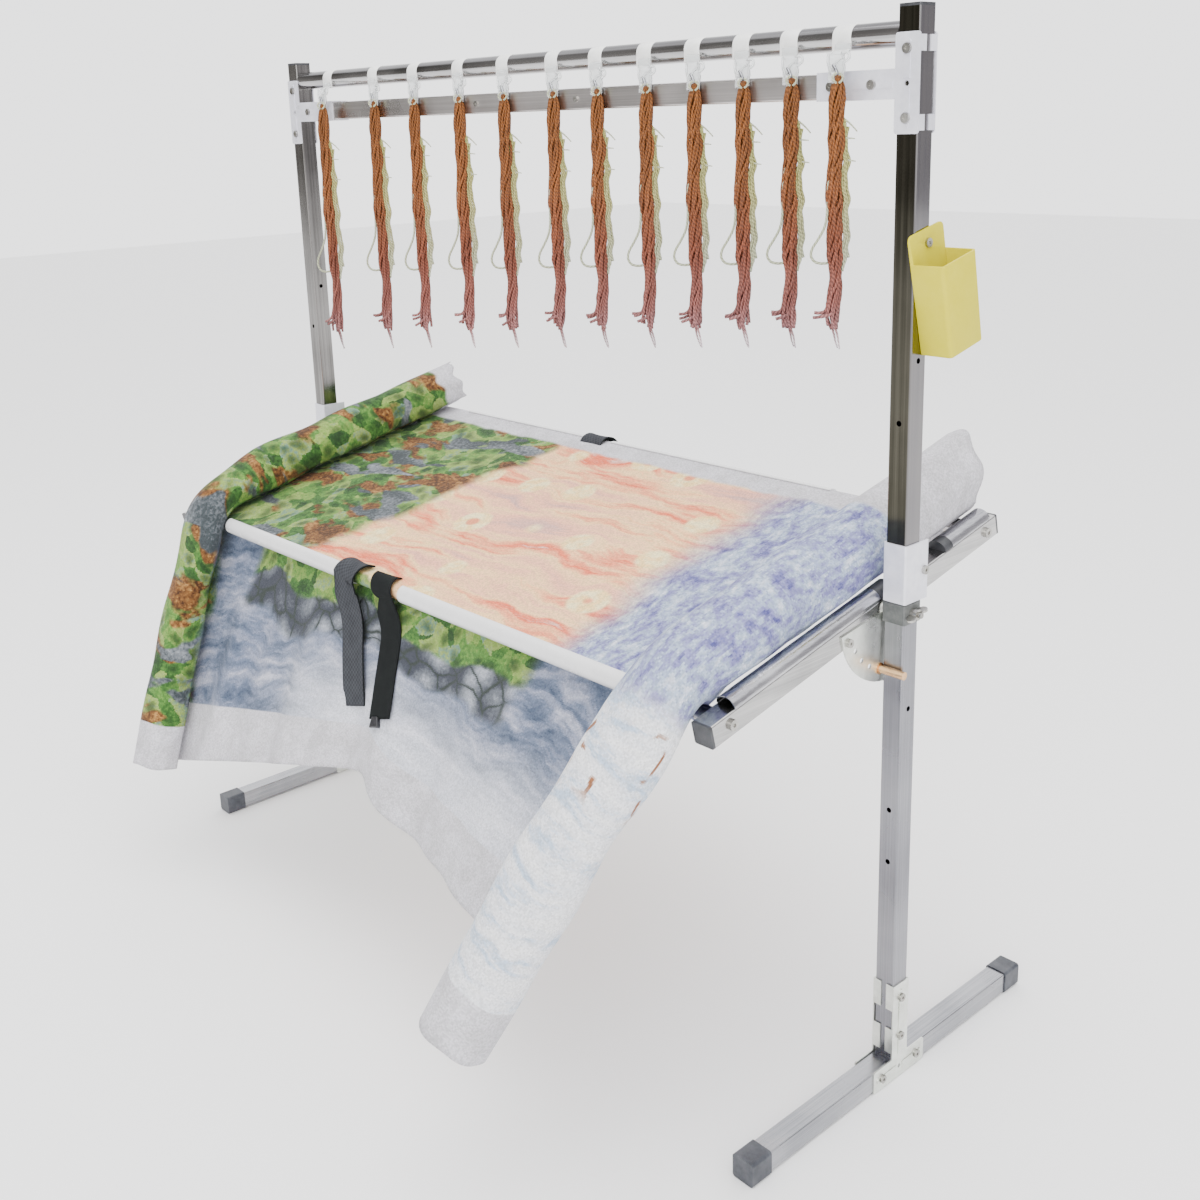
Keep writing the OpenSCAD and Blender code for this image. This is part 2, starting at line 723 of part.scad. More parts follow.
// Round bars between the arms, each with a threaded plug pressed into either end
module cloth_bar(y) {
    color("#c8cbce") placed() tilted() translate([0, y, 0]) {
        difference() {
            cyl_x(-bar_half_l, bar_half_l, bar_r);
            cyl_x(-bar_half_l + plug_l, bar_half_l - plug_l, bar_r - bar_wall);
            both_sides() cyl_x(bar_half_l - plug_l - over, bar_half_l + over, pivot_r + fit);
        }
    }
}

module front_bar() { cloth_bar(-bar_front); }
module rear_bar() { cloth_bar(bar_rear); }

// Screws through the arms into the bars, and the bolts that hold the sector plates
module bar_screws() {
    color("#c9ccce") placed() tilted() both_sides() {
        for (y = [-bar_front, bar_rear]) translate([arm_x + half, y, 0]) rotate([0, -90, 0])
            screw(tube_w + plug_l * 0.8, pivot_r, pivot_head_r, pivot_head_h);
        translate([plate_x, sector_bolt[0], sector_bolt[1]]) rotate([0, -90, 0])
            bolt_and_nut(tube_w + sector_t, bolt_r, bolt_head_r, bolt_head_h, nut_h);
    }
}

// White half-pipe clamps that hold the cloth on the bars. side is -1 for the front bar,
// whose clamps cover the front half, and 1 for the rear bar.
module bar_clamp(x0, x1, side) {
    translate([x0, 0, 0]) along_x() linear_extrude(x1 - x0) {
        difference() {
            circle(bar_clamp_r);
            circle(bar_clamp_r0);
            translate([side < 0 ? 0 : -2 * bar_clamp_r, -2 * bar_clamp_r])
                square([2 * bar_clamp_r, 4 * bar_clamp_r]);
        }
        translate([-side * 0.4, bar_clamp_r - bar_clamp_wall / 2]) circle(bar_clamp_wall / 2);
        translate([-side * 0.4, -bar_clamp_r + bar_clamp_wall / 2]) circle(bar_clamp_wall / 2);
    }
}

module bar_clamps() {
    color("#f2f2f0") placed() tilted() {
        for (c = front_clamps) translate([0, -bar_front, 0]) bar_clamp(c[0], c[1], -1);
        for (c = rear_clamps) translate([0, bar_rear, 0]) bar_clamp(c[0], c[1], 1);
    }
}

// Sector plates bolted to the outside of the arms, with a row of holes for the stop pin
module sector_profile() {
    start = 176;
    end = stop_angle + 9;
    reach = 2 * sector_r;
    difference() {
        union() {
            circle(pivot_d * 2.1);
            intersection() {
                circle(sector_r, $fn = 96);
                polygon([[0, 0], [reach * cos(start), reach * sin(start)],
                         [reach * cos((start + end) / 2), reach * sin((start + end) / 2)],
                         [reach * cos(end), reach * sin(end)]]);
            }
        }
        circle(pivot_r + run);
        translate(sector_bolt) circle(bolt_hole_r);
        for (i = [0:spare_hole_n]) rotate(stop_angle - i * sector_step)
            translate([sector_hole_r, 0]) circle(pivot_r + fit);
    }
}

module sector_plates() {
    color("#bcc2b6") placed() tilted() both_sides()
        translate([plate_x - sector_t, 0, 0]) along_x() linear_extrude(sector_t) sector_profile();
}

// Brass stop pins, which bear on the fronts of the posts and carry the weight of the frame
module stop_pins() {
    washer_t = post_x - half - plate_x - side_gap;
    color("#c79a5b") placed() tilted() both_sides() rotate([stop_angle, 0, 0])
        translate([0, sector_hole_r, 0]) {
            cyl_x(plate_x - sector_t - nut_h - 2, plate_x, pivot_r);
            cyl_x(plate_x, plate_x + washer_t, stop_r * 1.45);
            cyl_x(plate_x, post_x + half + stop_over, stop_r);
            translate([plate_x - sector_t - nut_h, 0, 0]) rotate([0, 90, 0])
                cylinder(h = nut_h, r = pivot_r * 1.85, $fn = 6);
        }
}

// Half-round clips along the tops of the arms, and black sleeves on their ends
module half_round(r, h) {
    intersection() {
        scale([1, h / r]) circle(r, $fn = 64);
        translate([-r - over, 0]) square([2 * r + 2 * over, h + over]);
    }
}

// Places a profile on the top of an arm and runs it from y0 to y1
module on_arm(y0, y1) {
    translate([arm_x, y1, half + fit / 2]) rotate([90, 0, 0]) linear_extrude(y1 - y0) children();
}

module side_clip(y0, y1) {
    on_arm(y0, y1) difference() {
        half_round(half, side_clip_h);
        translate([0, -0.01]) half_round(half - side_clip_wall, side_clip_h - side_clip_wall);
    }
}

module side_clips() {
    color("#d2d5d8") placed() tilted() both_sides() {
        side_clip(front_clip[0], front_clip[1]);
        side_clip(rear_clip[0], rear_clip[1]);
    }
}

module side_clip_sleeves() {
    color("#17191c") placed() tilted() both_sides() {
        on_arm(front_clip[1], front_clip[1] + clip_sleeve_l) half_round(half, side_clip_h);
        on_arm(rear_clip[0] - clip_sleeve_l * 0.6, rear_clip[0]) half_round(half, side_clip_h);
    }
}

// Cloth: stretched panel, the wraps round the bars, the front drape and the two rolled sides
module roll_between(a, b, r) {
    d = b - a;
    l = norm(d);
    translate(a) rotate([0, acos(d[2] / l), atan2(d[1], d[0])]) difference() {
        cylinder(h = l, r = r, $fn = 32);
        translate([0, 0, -over]) cylinder(h = l + 2 * over, r = r - roll_wall, $fn = 32);
    }
}

// Half turn of cloth round a bar: on the front bar round its front, on the rear bar round its back
module bar_wrap(side) {
    tail = 1.6;
    along_x() linear_extrude(2 * roll_x, center = true) mirror([side > 0 ? 1 : 0, 0]) {
        difference() {
            circle(wrap_r);
            circle(bar_r + run);
            translate([0, 0]) square(2 * wrap_r);
            translate([tail + cloth_t, -2 * wrap_r]) square([2 * wrap_r, 2 * wrap_r]);
        }
        if (side < 0) translate([tail, -bar_clamp_r - 1]) square([cloth_t, bar_clamp_r + 1 - bar_r - run]);
    }
}

module cloth() {
    right_n = bar_clamp_r + 0.6 + right_roll_r;
    left_n = bar_clamp_r + 0.6 + left_roll_r;
    color("#d9d6cf") placed() {
        tilted() {
            translate([-roll_x, -bar_front, wrap_r - cloth_t])
                cube([2 * roll_x, bar_front + bar_rear, cloth_t]);
            translate([0, -bar_front, 0]) bar_wrap(-1);
            translate([0, bar_rear, 0]) bar_wrap(1);
            roll_between([roll_x, -bar_front - roll_front_over, right_n],
                         [roll_x, bar_rear + right_roll_rear_over, right_n], right_roll_r);
            roll_between([-left_roll_x, -bar_front - roll_front_over, left_n],
                         [-left_roll_x, bar_rear + left_roll_rear_over, left_n], left_roll_r);
        }
        translate([0, drape_y, drape_z]) rotate([-90 - drape_lean, 0, 0]) linear_extrude(cloth_t)
            polygon([for (p = drape_outline) [p[0] * roll_x, p[1] * drape_l]]);
        roll_between(right_roll_top, right_roll_end, right_roll_r);
        roll_between(left_roll_top, left_roll_end, left_roll_r - 2);
    }
}

// Hook-and-loop straps laid over the bars, their ends hanging down the cloth
module strap(x, w, l, swing) {
    r = bar_clamp_r + 0.4;
    translate([x - w / 2, 0, 0]) {
        along_x() linear_extrude(w) difference() {
            circle(r + strap_t);
            circle(r);
            translate([0, -2 * r]) square([2 * r, 4 * r]);
        }
        translate([0, -r, 0]) rotate([90, 0, 0]) linear_extrude(strap_t)
            polygon([[0, 0], [w, 0], [w + l * sin(swing), -l * cos(swing)], [l * sin(swing), -l * cos(swing)]]);
    }
}

module straps() {
    color("#6d6f72") placed() tilted() {
        translate([0, -bar_front, 0]) rotate([-tilt - drape_lean, 0, 0]) {
            strap(-first_strap_x, strap_w, strap_l, strap_swing);
            strap(-second_strap_x, strap_w * 0.9, strap_l * 0.9, strap_swing);
        }
        translate([0, bar_rear, 0]) rotate([-tilt, 0, 0]) mirror([0, 1, 0]) 
            strap(-first_strap_x, strap_w, strap_l * 0.3, 0);
    }
}

// Thread clip: a ring that snaps on the rod, and a tag in front of the rail with a peg
module thread_clip(i) {
    x = clip_places[i];
    color("#f4f4f1") placed() translate([x, 0, 0]) {
        translate([-clip_l / 2, 0, rod_z]) along_x() linear_extrude(clip_l) difference() {
            union() {
                circle(ring_r);
                translate([tag_y, -2]) square([-tag_y, 4]);
            }
            circle(rod_r + run);
            polygon([[0, 0], [3 * rod_r, -0.4 * rod_r], [3 * rod_r, -3 * rod_r], [0.5 * rod_r, -3 * rod_r]]);
        }
        difference() {
            translate([0, tag_y, 0]) rotate([90, 0, 0]) linear_extrude(tag_t) {
                translate([-clip_l / 2, tag_top - tag_h + clip_l / 2])
                    square([clip_l, tag_h - clip_l / 2]);
                translate([0, tag_top - tag_h + clip_l / 2]) circle(clip_l / 2);
            }
            translate([0, 0, peg_z + 13]) cyl_y(tag_y - tag_t - over, tag_y + over, 2.2);
        }
        translate([0, 0, peg_z]) {
            cyl_y(peg_y, tag_y, peg_d / 2);
            cyl_y(peg_y - 1.6, peg_y, peg_d * 0.85);
        }
    }
}

// Skein of thread, hung by its loop on the peg of its clip
module skein(i) {
    x = clip_places[i];
    l = skein_l - skein_slope * x;
    loop_r = skein_w * 0.42;
    wide = skein_w / 2;
    color("#b0603a") placed() translate([x, tag_y - tag_t - 0.6 - skein_t, peg_z]) difference() {
        union() {
            cyl_y(0, skein_t, loop_r);
            translate([0, skein_t, 0]) rotate([90, 0, 0]) linear_extrude(skein_t)
                polygon([[-loop_r * 0.7, 2], [loop_r * 0.7, 2], [wide, -0.18 * l], [wide * 1.1, -0.66 * l],
                         [wide * 0.8, -0.72 * l], [wide * 0.7, -0.88 * l], [wide * 1.4, -l], [wide, -l],
                         [0, -0.92 * l], [-wide * 1.3, -0.92 * l], [-wide * 1.3, -0.89 * l],
                         [-wide * 0.7, -0.85 * l], [-wide * 0.8, -0.5 * l], [-wide, -0.18 * l]]);
        }
        cyl_y(-over, skein_t + over, peg_d / 2 + 2 * run);
    }
}

right_foot();
left_foot();
foot_caps();
right_lower_post();
left_lower_post();
right_upper_post();
left_upper_post();
tube_connectors();
post_caps();
joint_saddles();
pivot_collars();
foot_clamps();
top_clamps();
clamp_bolts();
tube_screws();
right_rail();
left_rail();
thread_rod();
rod_plugs();
pivot_bolts();
right_wing_nut();
left_wing_nut();
tool_box();
right_arm();
left_arm();
arm_caps();
front_bar();
rear_bar();
bar_screws();
bar_clamps();
sector_plates();
stop_pins();
side_clips();
side_clip_sleeves();
cloth();
straps();
thread_clip(0);  // thread_clip_01
thread_clip(1);  // thread_clip_02
thread_clip(2);  // thread_clip_03
thread_clip(3);  // thread_clip_04
thread_clip(4);  // thread_clip_05
thread_clip(5);  // thread_clip_06
thread_clip(6);  // thread_clip_07
thread_clip(7);  // thread_clip_08
thread_clip(8);  // thread_clip_09
thread_clip(9);  // thread_clip_10
thread_clip(10);  // thread_clip_11
thread_clip(11);  // thread_clip_12
skein(0);  // skein_01
skein(1);  // skein_02
skein(2);  // skein_03
skein(3);  // skein_04
skein(4);  // skein_05
skein(5);  // skein_06
skein(6);  // skein_07
skein(7);  // skein_08
skein(8);  // skein_09
skein(9);  // skein_10
skein(10);  // skein_11
skein(11);  // skein_12
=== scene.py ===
import json
import bpy
import bmesh
import math
import random
from functools import partial
from mathutils import Matrix, Vector, noise


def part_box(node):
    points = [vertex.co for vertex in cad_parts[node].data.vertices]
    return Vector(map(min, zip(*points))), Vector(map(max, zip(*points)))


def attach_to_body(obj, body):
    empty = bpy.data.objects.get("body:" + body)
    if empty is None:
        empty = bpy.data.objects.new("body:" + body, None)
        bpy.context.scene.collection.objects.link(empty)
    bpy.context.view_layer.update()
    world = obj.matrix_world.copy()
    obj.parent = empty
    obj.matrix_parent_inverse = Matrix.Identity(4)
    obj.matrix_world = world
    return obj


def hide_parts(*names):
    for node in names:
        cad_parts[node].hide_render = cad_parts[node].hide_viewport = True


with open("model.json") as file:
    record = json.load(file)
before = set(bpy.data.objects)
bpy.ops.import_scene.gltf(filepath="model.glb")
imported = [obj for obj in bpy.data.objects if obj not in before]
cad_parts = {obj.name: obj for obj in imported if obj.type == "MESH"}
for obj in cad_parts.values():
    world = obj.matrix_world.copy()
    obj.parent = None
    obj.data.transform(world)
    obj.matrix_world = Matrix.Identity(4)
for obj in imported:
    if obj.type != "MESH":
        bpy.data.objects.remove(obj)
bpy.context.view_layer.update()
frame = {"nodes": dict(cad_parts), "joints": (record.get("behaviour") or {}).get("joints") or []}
bpy.ops.object.select_all(action="DESELECT")


# The view: a photographer's camera at the right front corner, a little above the thread rail's
# height, looking down at the frame. Its place is counted from the floor between the two posts.
def middle(node):
    low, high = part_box(node)
    return (Vector(low) + Vector(high)) / 2


right_post = middle("right_lower_post")
left_post = middle("left_lower_post")
stand_middle = Vector(((right_post.x + left_post.x) / 2, right_post.y, 0))
yaw, pitch, roll = math.radians(48.3), math.radians(14.9), math.radians(-1.8)
ahead = Vector((-math.sin(yaw) * math.cos(pitch), math.cos(yaw) * math.cos(pitch), -math.sin(pitch)))
level_right = Vector((math.cos(yaw), math.sin(yaw), 0))
level_up = level_right.cross(ahead)
camera_right = math.cos(roll) * level_right + math.sin(roll) * level_up
camera_up = -math.sin(roll) * level_right + math.cos(roll) * level_up
turn = Matrix((camera_right, camera_up, -ahead)).transposed().to_4x4()
bpy.ops.object.camera_add()
camera = bpy.context.object
camera.matrix_world = Matrix.Translation(stand_middle + Vector((1.3888, -1.1509, 1.0796))) @ turn
sensor, focal_pixels, frame_pixels, lowered_pixels = 36, 1381.1, 1200, 113
camera.data.sensor_width = sensor
camera.data.lens = sensor * focal_pixels / frame_pixels
camera.data.shift_y = -lowered_pixels / frame_pixels
camera.data.clip_end = 50
bpy.context.scene.camera = camera


# The studio: a white sweep of floor before a brightly lit white wall. Two sides of the room are
# dim, one of them with upright dark panels, which the polished steel mirrors. A large soft lamp
# hangs overhead and another stands behind the camera.
def fill(tree, socket, value):
    """Gives a socket a value, or a link from another node's socket."""
    if hasattr(value, "is_linked"):
        tree.links.new(value, socket)
    else:
        socket.default_value = value


def put(tree, kind, sockets, **settings):
    """Adds a node with its settings, and fills the named or numbered sockets."""
    node = tree.nodes.new("ShaderNode" + kind)
    for setting, value in settings.items():
        setattr(node, setting, value)
    for socket, value in sockets.items():
        fill(tree, node.inputs[socket], value)
    return node


def set_shader(tree, **sockets):
    for socket, value in sockets.items():
        fill(tree, tree.nodes["Principled BSDF"].inputs[socket.replace("_", " ")], value)


def new_paint(name, **sockets):
    """A new material and its node tree, with values on the shader's sockets."""
    paint = bpy.data.materials.new(name)
    paint.use_nodes = True
    set_shader(paint.node_tree, **sockets)
    return paint, paint.node_tree


def tones(tree, value, *stops):
    """A colour ramp over value; each stop is a place and a colour."""
    node = put(tree, "ValToRGB", {"Fac": value})
    elements = node.color_ramp.elements
    while len(elements) < len(stops):
        elements.new(0.5)
    for element, (place, colour) in zip(elements, stops):
        element.position = place
        element.color = (*colour, 1)
    return node.outputs["Color"]


def mixed(tree, share, below, above, kind="MIX"):
    """Lays one colour over another by share, or adds or multiplies them."""
    below, above = (part if hasattr(part, "is_linked") else (*part, 1) for part in (below, above))
    sockets = {"Factor": share, 6: below, 7: above}
    return put(tree, "Mix", sockets, data_type="RGBA", blend_type=kind).outputs[2]


def spread(tree, value, low, high, to_low=0.0, to_high=1.0, kind="LINEAR"):
    """Takes value from one range to another."""
    sockets = {"Value": value, "From Min": low, "From Max": high, "To Min": to_low, "To Max": to_high}
    return put(tree, "MapRange", sockets, interpolation_type=kind).outputs["Result"]


def step(tree, value, low, high):
    return spread(tree, value, low, high, kind="SMOOTHSTEP")


def along_way(tree, vector, way):
    return put(tree, "VectorMath", {0: vector, 1: way}, operation="DOT_PRODUCT").outputs["Value"]


bpy.ops.mesh.primitive_plane_add(size=24, location=(0, 0, -0.0006))
floor = bpy.context.object
floor.name = "studio_floor"
floor_paint, _ = new_paint("studio_floor_paint", Base_Color=(0.95, 0.95, 0.95, 1), Roughness=0.8)
floor.data.materials.append(floor_paint)

hall = bpy.data.worlds.new("studio_hall")
bpy.context.scene.world = hall
hall.use_nodes = True
hall_tree = hall.node_tree
hall_way = put(hall_tree, "TexCoord", {}).outputs["Generated"]
hall_panels = put(hall_tree, "TexWave",
                  {"Scale": 1.9, "Distortion": 2.2, "Detail": 2.0, "Vector": hall_way},
                  wave_type="BANDS", bands_direction="X").outputs["Fac"]


def toward(way, low, high):
    """1 where the hall lies towards way, 0 elsewhere."""
    return step(hall_tree, along_way(hall_tree, hall_way, way), low, high)


bright_side, right_side = (2.5, 2.5, 2.52), (0.8, 0.78, 0.81)
dark_panels = tones(hall_tree, hall_panels, (0.15, (0.16, 0.155, 0.14)), (0.75, (0.62, 0.60, 0.58)))
hall_light = mixed(hall_tree, toward((0.58, 0.80, 0.0), 0.66, 0.84), bright_side, right_side)
hall_light = mixed(hall_tree, toward((-0.72, -0.69, 0.0), 0.62, 0.80), hall_light, dark_panels)
hall_shader = hall_tree.nodes["Background"].inputs
fill(hall_tree, hall_shader["Color"], hall_light)
fill(hall_tree, hall_shader["Strength"], 1.0)


def soft_lamp(name, place, aim, size, power, tint):
    bpy.ops.object.light_add(type="AREA", location=place)
    lamp = bpy.context.object
    lamp.name = name
    lamp.data.shape = "SQUARE"
    lamp.data.size = size
    lamp.data.energy = power
    lamp.data.color = tint
    lamp.rotation_euler = (Vector(aim) - Vector(place)).to_track_quat("-Z", "Y").to_euler()


soft_lamp("lamp_overhead", (0.3, -0.4, 3.4), (0, 0, 0.5), 2.6, 72, (1, 1, 1))
soft_lamp("lamp_camera", (2.2, -3.0, 2.3), (0, 0, 0.5), 2.0, 58, (1, 0.99, 0.98))


# Feet and lower posts: square welded steel tube with a satin zinc skin, drawn lengthways, so the
# light breaks on fine lines that run along each tube.
def noise_of(tree, vector, scale, detail, rough=0.5):
    sockets = {"Vector": vector, "Scale": scale, "Detail": detail, "Roughness": rough}
    return put(tree, "TexNoise", sockets).outputs["Fac"]


def mapped(tree, vector, scale, shift=(0, 0, 0)):
    return put(tree, "Mapping", {"Scale": scale, "Location": shift, "Vector": vector}).outputs["Vector"]


def place_on_piece(tree):
    return put(tree, "TexCoord", {}).outputs["Object"]


def relief(tree, height, strength, depth):
    return put(tree, "Bump", {"Strength": strength, "Distance": depth, "Height": height}).outputs["Normal"]


def steel(name, bright, dull, rough, grain, depth=0.00006, clouds=9.0):
    """Steel: grain is how fine its drawn lines are along X, Y and Z, clouds the scale of its smears."""
    paint, tree = new_paint(name, Metallic=1.0)
    place = place_on_piece(tree)
    lines = noise_of(tree, mapped(tree, place, grain), 1.0, 5.0, 0.65)
    smears = noise_of(tree, place, clouds, 4.0)
    blend = put(tree, "Mix", {"Factor": 0.55, "A": lines, "B": smears}, data_type="FLOAT").outputs["Result"]
    set_shader(tree, Base_Color=tones(tree, blend, (0.36, dull), (0.62, bright)),
               Roughness=spread(tree, smears, 0.3, 0.7, rough * 0.7, rough * 1.45),
               Normal=relief(tree, lines, 0.5, depth))
    return paint


def finish_nodes(paint, *names):
    for name in names:
        frame["nodes"][name].material_slots[0].material = paint


finish_nodes(steel("satin_tube_upright", (0.305, 0.305, 0.325), (0.185, 0.185, 0.205), 0.28, (620, 620, 5)),
             "right_lower_post", "left_lower_post")
finish_nodes(steel("satin_tube_foot", (0.44, 0.44, 0.46), (0.26, 0.265, 0.285), 0.26, (620, 6, 620)),
             "right_foot", "left_foot")


# Upper posts, cross rail and its inner tubes: the same tube with a polished skin, in which the
# dark and light parts of the room stand as long streaks. On the upper posts this reflection is
# also painted into the base colour: darkened, with dark mottles, the near right post most. The
# posts' flanks are the paler ones, by painted reflection.
upright = steel("polished_tube_upright_painted_reflection", (0.075, 0.070, 0.055), (0.018, 0.017, 0.012), 0.12,
                (260, 260, 2.5), 0.00003, 6)


def figure(tree, operation, a, b=0.0, c=0.0):
    return put(tree, "Math", {0: a, 1: b, 2: c}, operation=operation).outputs["Value"]


def paint_light_by_way(paint, way, kind, colour, both_sides=False):
    """Paints light or shade into the base colour where the surface faces along way: adds to it or
    multiplies it.
    """
    tree = paint.node_tree
    normal = put(tree, "NewGeometry", {}).outputs["Normal"]
    share = figure(tree, "ABSOLUTE" if both_sides else "MAXIMUM", along_way(tree, normal, way))
    below = tree.nodes["Principled BSDF"].inputs["Base Color"].links[0].from_socket
    set_shader(tree, Base_Color=mixed(tree, share, below, colour, kind))
    return paint


# painted reflection: the posts' flanks, facing along X, get a paler tone added to their base colour
paint_light_by_way(upright, (1, 0, 0), "ADD", (0.15, 0.145, 0.16), True)
finish_nodes(upright, "right_upper_post")
# painted reflection: the far left upper post is a less darkened copy of the same polished tube
finish_nodes(steel("polished_tube_far_upright_painted_reflection", (0.30, 0.29, 0.28), (0.10, 0.095, 0.09), 0.16,
                   (260, 260, 2.5), 0.00003, 6), "left_upper_post")
finish_nodes(steel("polished_tube_rail", (0.62, 0.59, 0.58), (0.38, 0.36, 0.35), 0.3,
                   (4, 500, 500), 0.00003, 5),
             "right_rail", "left_rail", "tube_connectors")


# Thread rod and the two cloth bars: bright drawn round tube, with painted shade darkening their
# upper sides. The rod lies in the top clamps, the bars are screwed between the arms.
round_tube = steel("bright_round_tube", (0.56, 0.55, 0.55), (0.34, 0.33, 0.33), 0.16,
                   (5, 700, 700), 0.00002, 7)
# painted shade: faces turned up and a little forward are multiplied darker
finish_nodes(paint_light_by_way(round_tube, (0, -0.2, 1.1), "MULTIPLY", (0.22, 0.22, 0.235)),
             "thread_rod", "front_bar", "rear_bar")


# Arms of the tilting frame: polished square tube, drawn along its length. Each turns on a bolt
# through its post.
finish_nodes(steel("polished_tube_arm", (0.56, 0.55, 0.54), (0.26, 0.26, 0.26), 0.17,
                   (520, 5, 520), 0.00003, 6),
             "right_arm", "left_arm")


# Caps, collars and sleeves: black moulded plastic with a fine grain from the mould and paler
# scuffs where shoes and the floor rub it.
def moulded(name, colour, worn, rough, grain=1400.0, depth=0.00005, scuff=0.62, clear=0.0):
    """Plastic: grain is the scale of its pores, scuff how much stays unrubbed, clear its top coat."""
    paint, tree = new_paint(name, Coat_Weight=clear, Coat_Roughness=0.12)
    place = place_on_piece(tree)
    rubs = noise_of(tree, place, 46.0, 7.0, 0.7)
    set_shader(tree, Base_Color=tones(tree, rubs, (scuff - 0.25, colour), (scuff + 0.12, worn)),
               Roughness=spread(tree, rubs, 0.0, 1.0, rough * 0.75, min(1, rough * 1.4)),
               Normal=relief(tree, noise_of(tree, place, grain, 2.0), 0.45, depth))
    return paint


finish_nodes(moulded("foot_cap_plastic", (0.018, 0.021, 0.030), (0.085, 0.09, 0.105), 0.42),
             "foot_caps")
finish_nodes(moulded("black_plug_plastic", (0.014, 0.015, 0.018), (0.06, 0.062, 0.068), 0.38),
             "post_caps", "arm_caps", "side_clip_sleeves", "rod_plugs")
finish_nodes(moulded("collar_plastic", (0.05, 0.055, 0.055), (0.14, 0.145, 0.14), 0.36),
             "pivot_collars")


# Tee clamps, saddles and sector plates: pressed sheet steel. Those at the feet are zinc plated
# to a pale green-white, those at the top and the clips on the arms are bright.
finish_nodes(steel("pale_zinc_plate", (0.80, 0.82, 0.77), (0.60, 0.62, 0.57), 0.34,
                   (90, 90, 90), 0.0001, 26),
             "foot_clamps", "sector_plates")
bright_zinc = steel("bright_zinc_plate", (0.80, 0.80, 0.86), (0.66, 0.66, 0.73), 0.34,
                    (120, 120, 120), 0.0001, 20)
set_shader(bright_zinc.node_tree, Metallic=0.35)
finish_nodes(bright_zinc, "top_clamps", "joint_saddles")
clip_sheet_painted_shade = steel("clip_sheet_painted_shade", (0.66, 0.66, 0.67), (0.40, 0.40, 0.42), 0.2, (480, 6, 480), 0.00004, 9)
# painted shade: the clips' upward faces are multiplied darker, damping their highlight
finish_nodes(paint_light_by_way(clip_sheet_painted_shade, (0, -0.22, 0.98), "MULTIPLY", (0.62, 0.62, 0.65)), "side_clips")


# Bolts, nuts, screws and wing nuts: small turned and pressed fasteners, zinc plated. The stop
# pins are turned brass, dull from handling.
finish_nodes(steel("fastener_zinc", (0.50, 0.49, 0.46), (0.24, 0.23, 0.21), 0.26,
                   (260, 260, 260), 0.0001, 60),
             "clamp_bolts", "tube_screws", "pivot_bolts", "bar_screws", "right_wing_nut", "left_wing_nut")
finish_nodes(steel("stop_pin_brass", (0.78, 0.50, 0.27), (0.52, 0.30, 0.15), 0.27,
                   (60, 700, 700), 0.0001, 70),
             "stop_pins")


# Half-pipe clamps on the cloth bars and the thread clips: glossy white plastic, extruded and
# moulded.
finish_nodes(moulded("white_pipe_plastic", (0.74, 0.74, 0.74), (0.66, 0.66, 0.66), 0.24,
                     300.0, 0.00003, 0.7, 0.3),
             "bar_clamps")
finish_nodes(moulded("white_clip_plastic", (0.90, 0.90, 0.88), (0.80, 0.80, 0.79), 0.22,
                     500.0, 0.00003, 0.7, 0.4),
             *["thread_clip_%02d" % number for number in range(1, 13)])


# Tool box: a small open box moulded in yellow plastic with rounded edges. It hangs by the tab at
# its back from one screw in the side of the right post, and leans a little.
def pick_edges(piece, wanted):
    """Leaves piece in edit mode with only the wanted edges selected."""
    bpy.ops.object.mode_set(mode="OBJECT")
    bpy.context.tool_settings.mesh_select_mode = (False, True, False)
    for part in [*piece.data.polygons, *piece.data.vertices]:
        part.select = False
    for edge in piece.data.edges:
        a, b = (piece.data.vertices[i] for i in edge.vertices)
        edge.select = wanted(a.co, b.co)
        if edge.select:
            a.select = b.select = True
    bpy.ops.object.mode_set(mode="EDIT")


def apply_modifier(piece, kind, **values):
    """Selects only piece, and applies a modifier of this kind to it."""
    bpy.ops.object.select_all(action="DESELECT")
    piece.select_set(True)
    bpy.context.view_layer.objects.active = piece
    modifier = piece.modifiers.new("shape", kind)
    for name, value in values.items():
        setattr(modifier, name, value)
    bpy.ops.object.modifier_apply(modifier="shape")


def attach(piece, paint, body, slot, replaced):
    """Paints a piece, hangs it on its body and hides the CAD node that it stands for. slot is not used."""
    piece.data.materials.append(paint)
    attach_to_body(piece, body)
    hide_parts(replaced)


box_screw = Vector(next(joint for joint in frame["joints"] if joint["name"] == "tool_box_swivel")["pos_m"])
box_screw.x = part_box("tool_box")[0][0]
box_place = Matrix.Translation(box_screw) @ Matrix.Rotation(math.radians(13.5), 4, "X")
box_deep, box_wide, box_mouth, box_bottom, tab_top = 0.038, 0.0575, -0.014, -0.109, 0.014
box_wall, box_taper, hole_radius = 0.0022, 0.002, 0.0027
bpy.ops.mesh.primitive_cube_add(size=1, location=(0, 0, 0))
tool_box = bpy.context.object
tool_box.name = "tool_box_shell"
for corner in tool_box.data.vertices:
    low = corner.co.z < 0
    corner.co = ((box_deep - box_taper * low) * (corner.co.x > 0),
                 corner.co.y * (box_wide - box_taper * low), box_bottom if low else box_mouth)
pick_edges(tool_box, lambda a, b: min(a.x, b.x) > 0.03 and abs(a.z - b.z) > 0.05)
bpy.ops.mesh.bevel(offset=0.0045, segments=4)
pick_edges(tool_box, lambda a, b: max(a.z, b.z) < -0.1 and max(a.x, b.x) > 0.001)
bpy.ops.mesh.bevel(offset=0.0025, segments=3)
bpy.ops.object.mode_set(mode="OBJECT")
bpy.context.tool_settings.mesh_select_mode = (False, False, True)
for face in tool_box.data.polygons:
    face.select = face.normal.z > 0.9
bpy.ops.object.mode_set(mode="EDIT")
bpy.ops.mesh.delete(type="FACE")
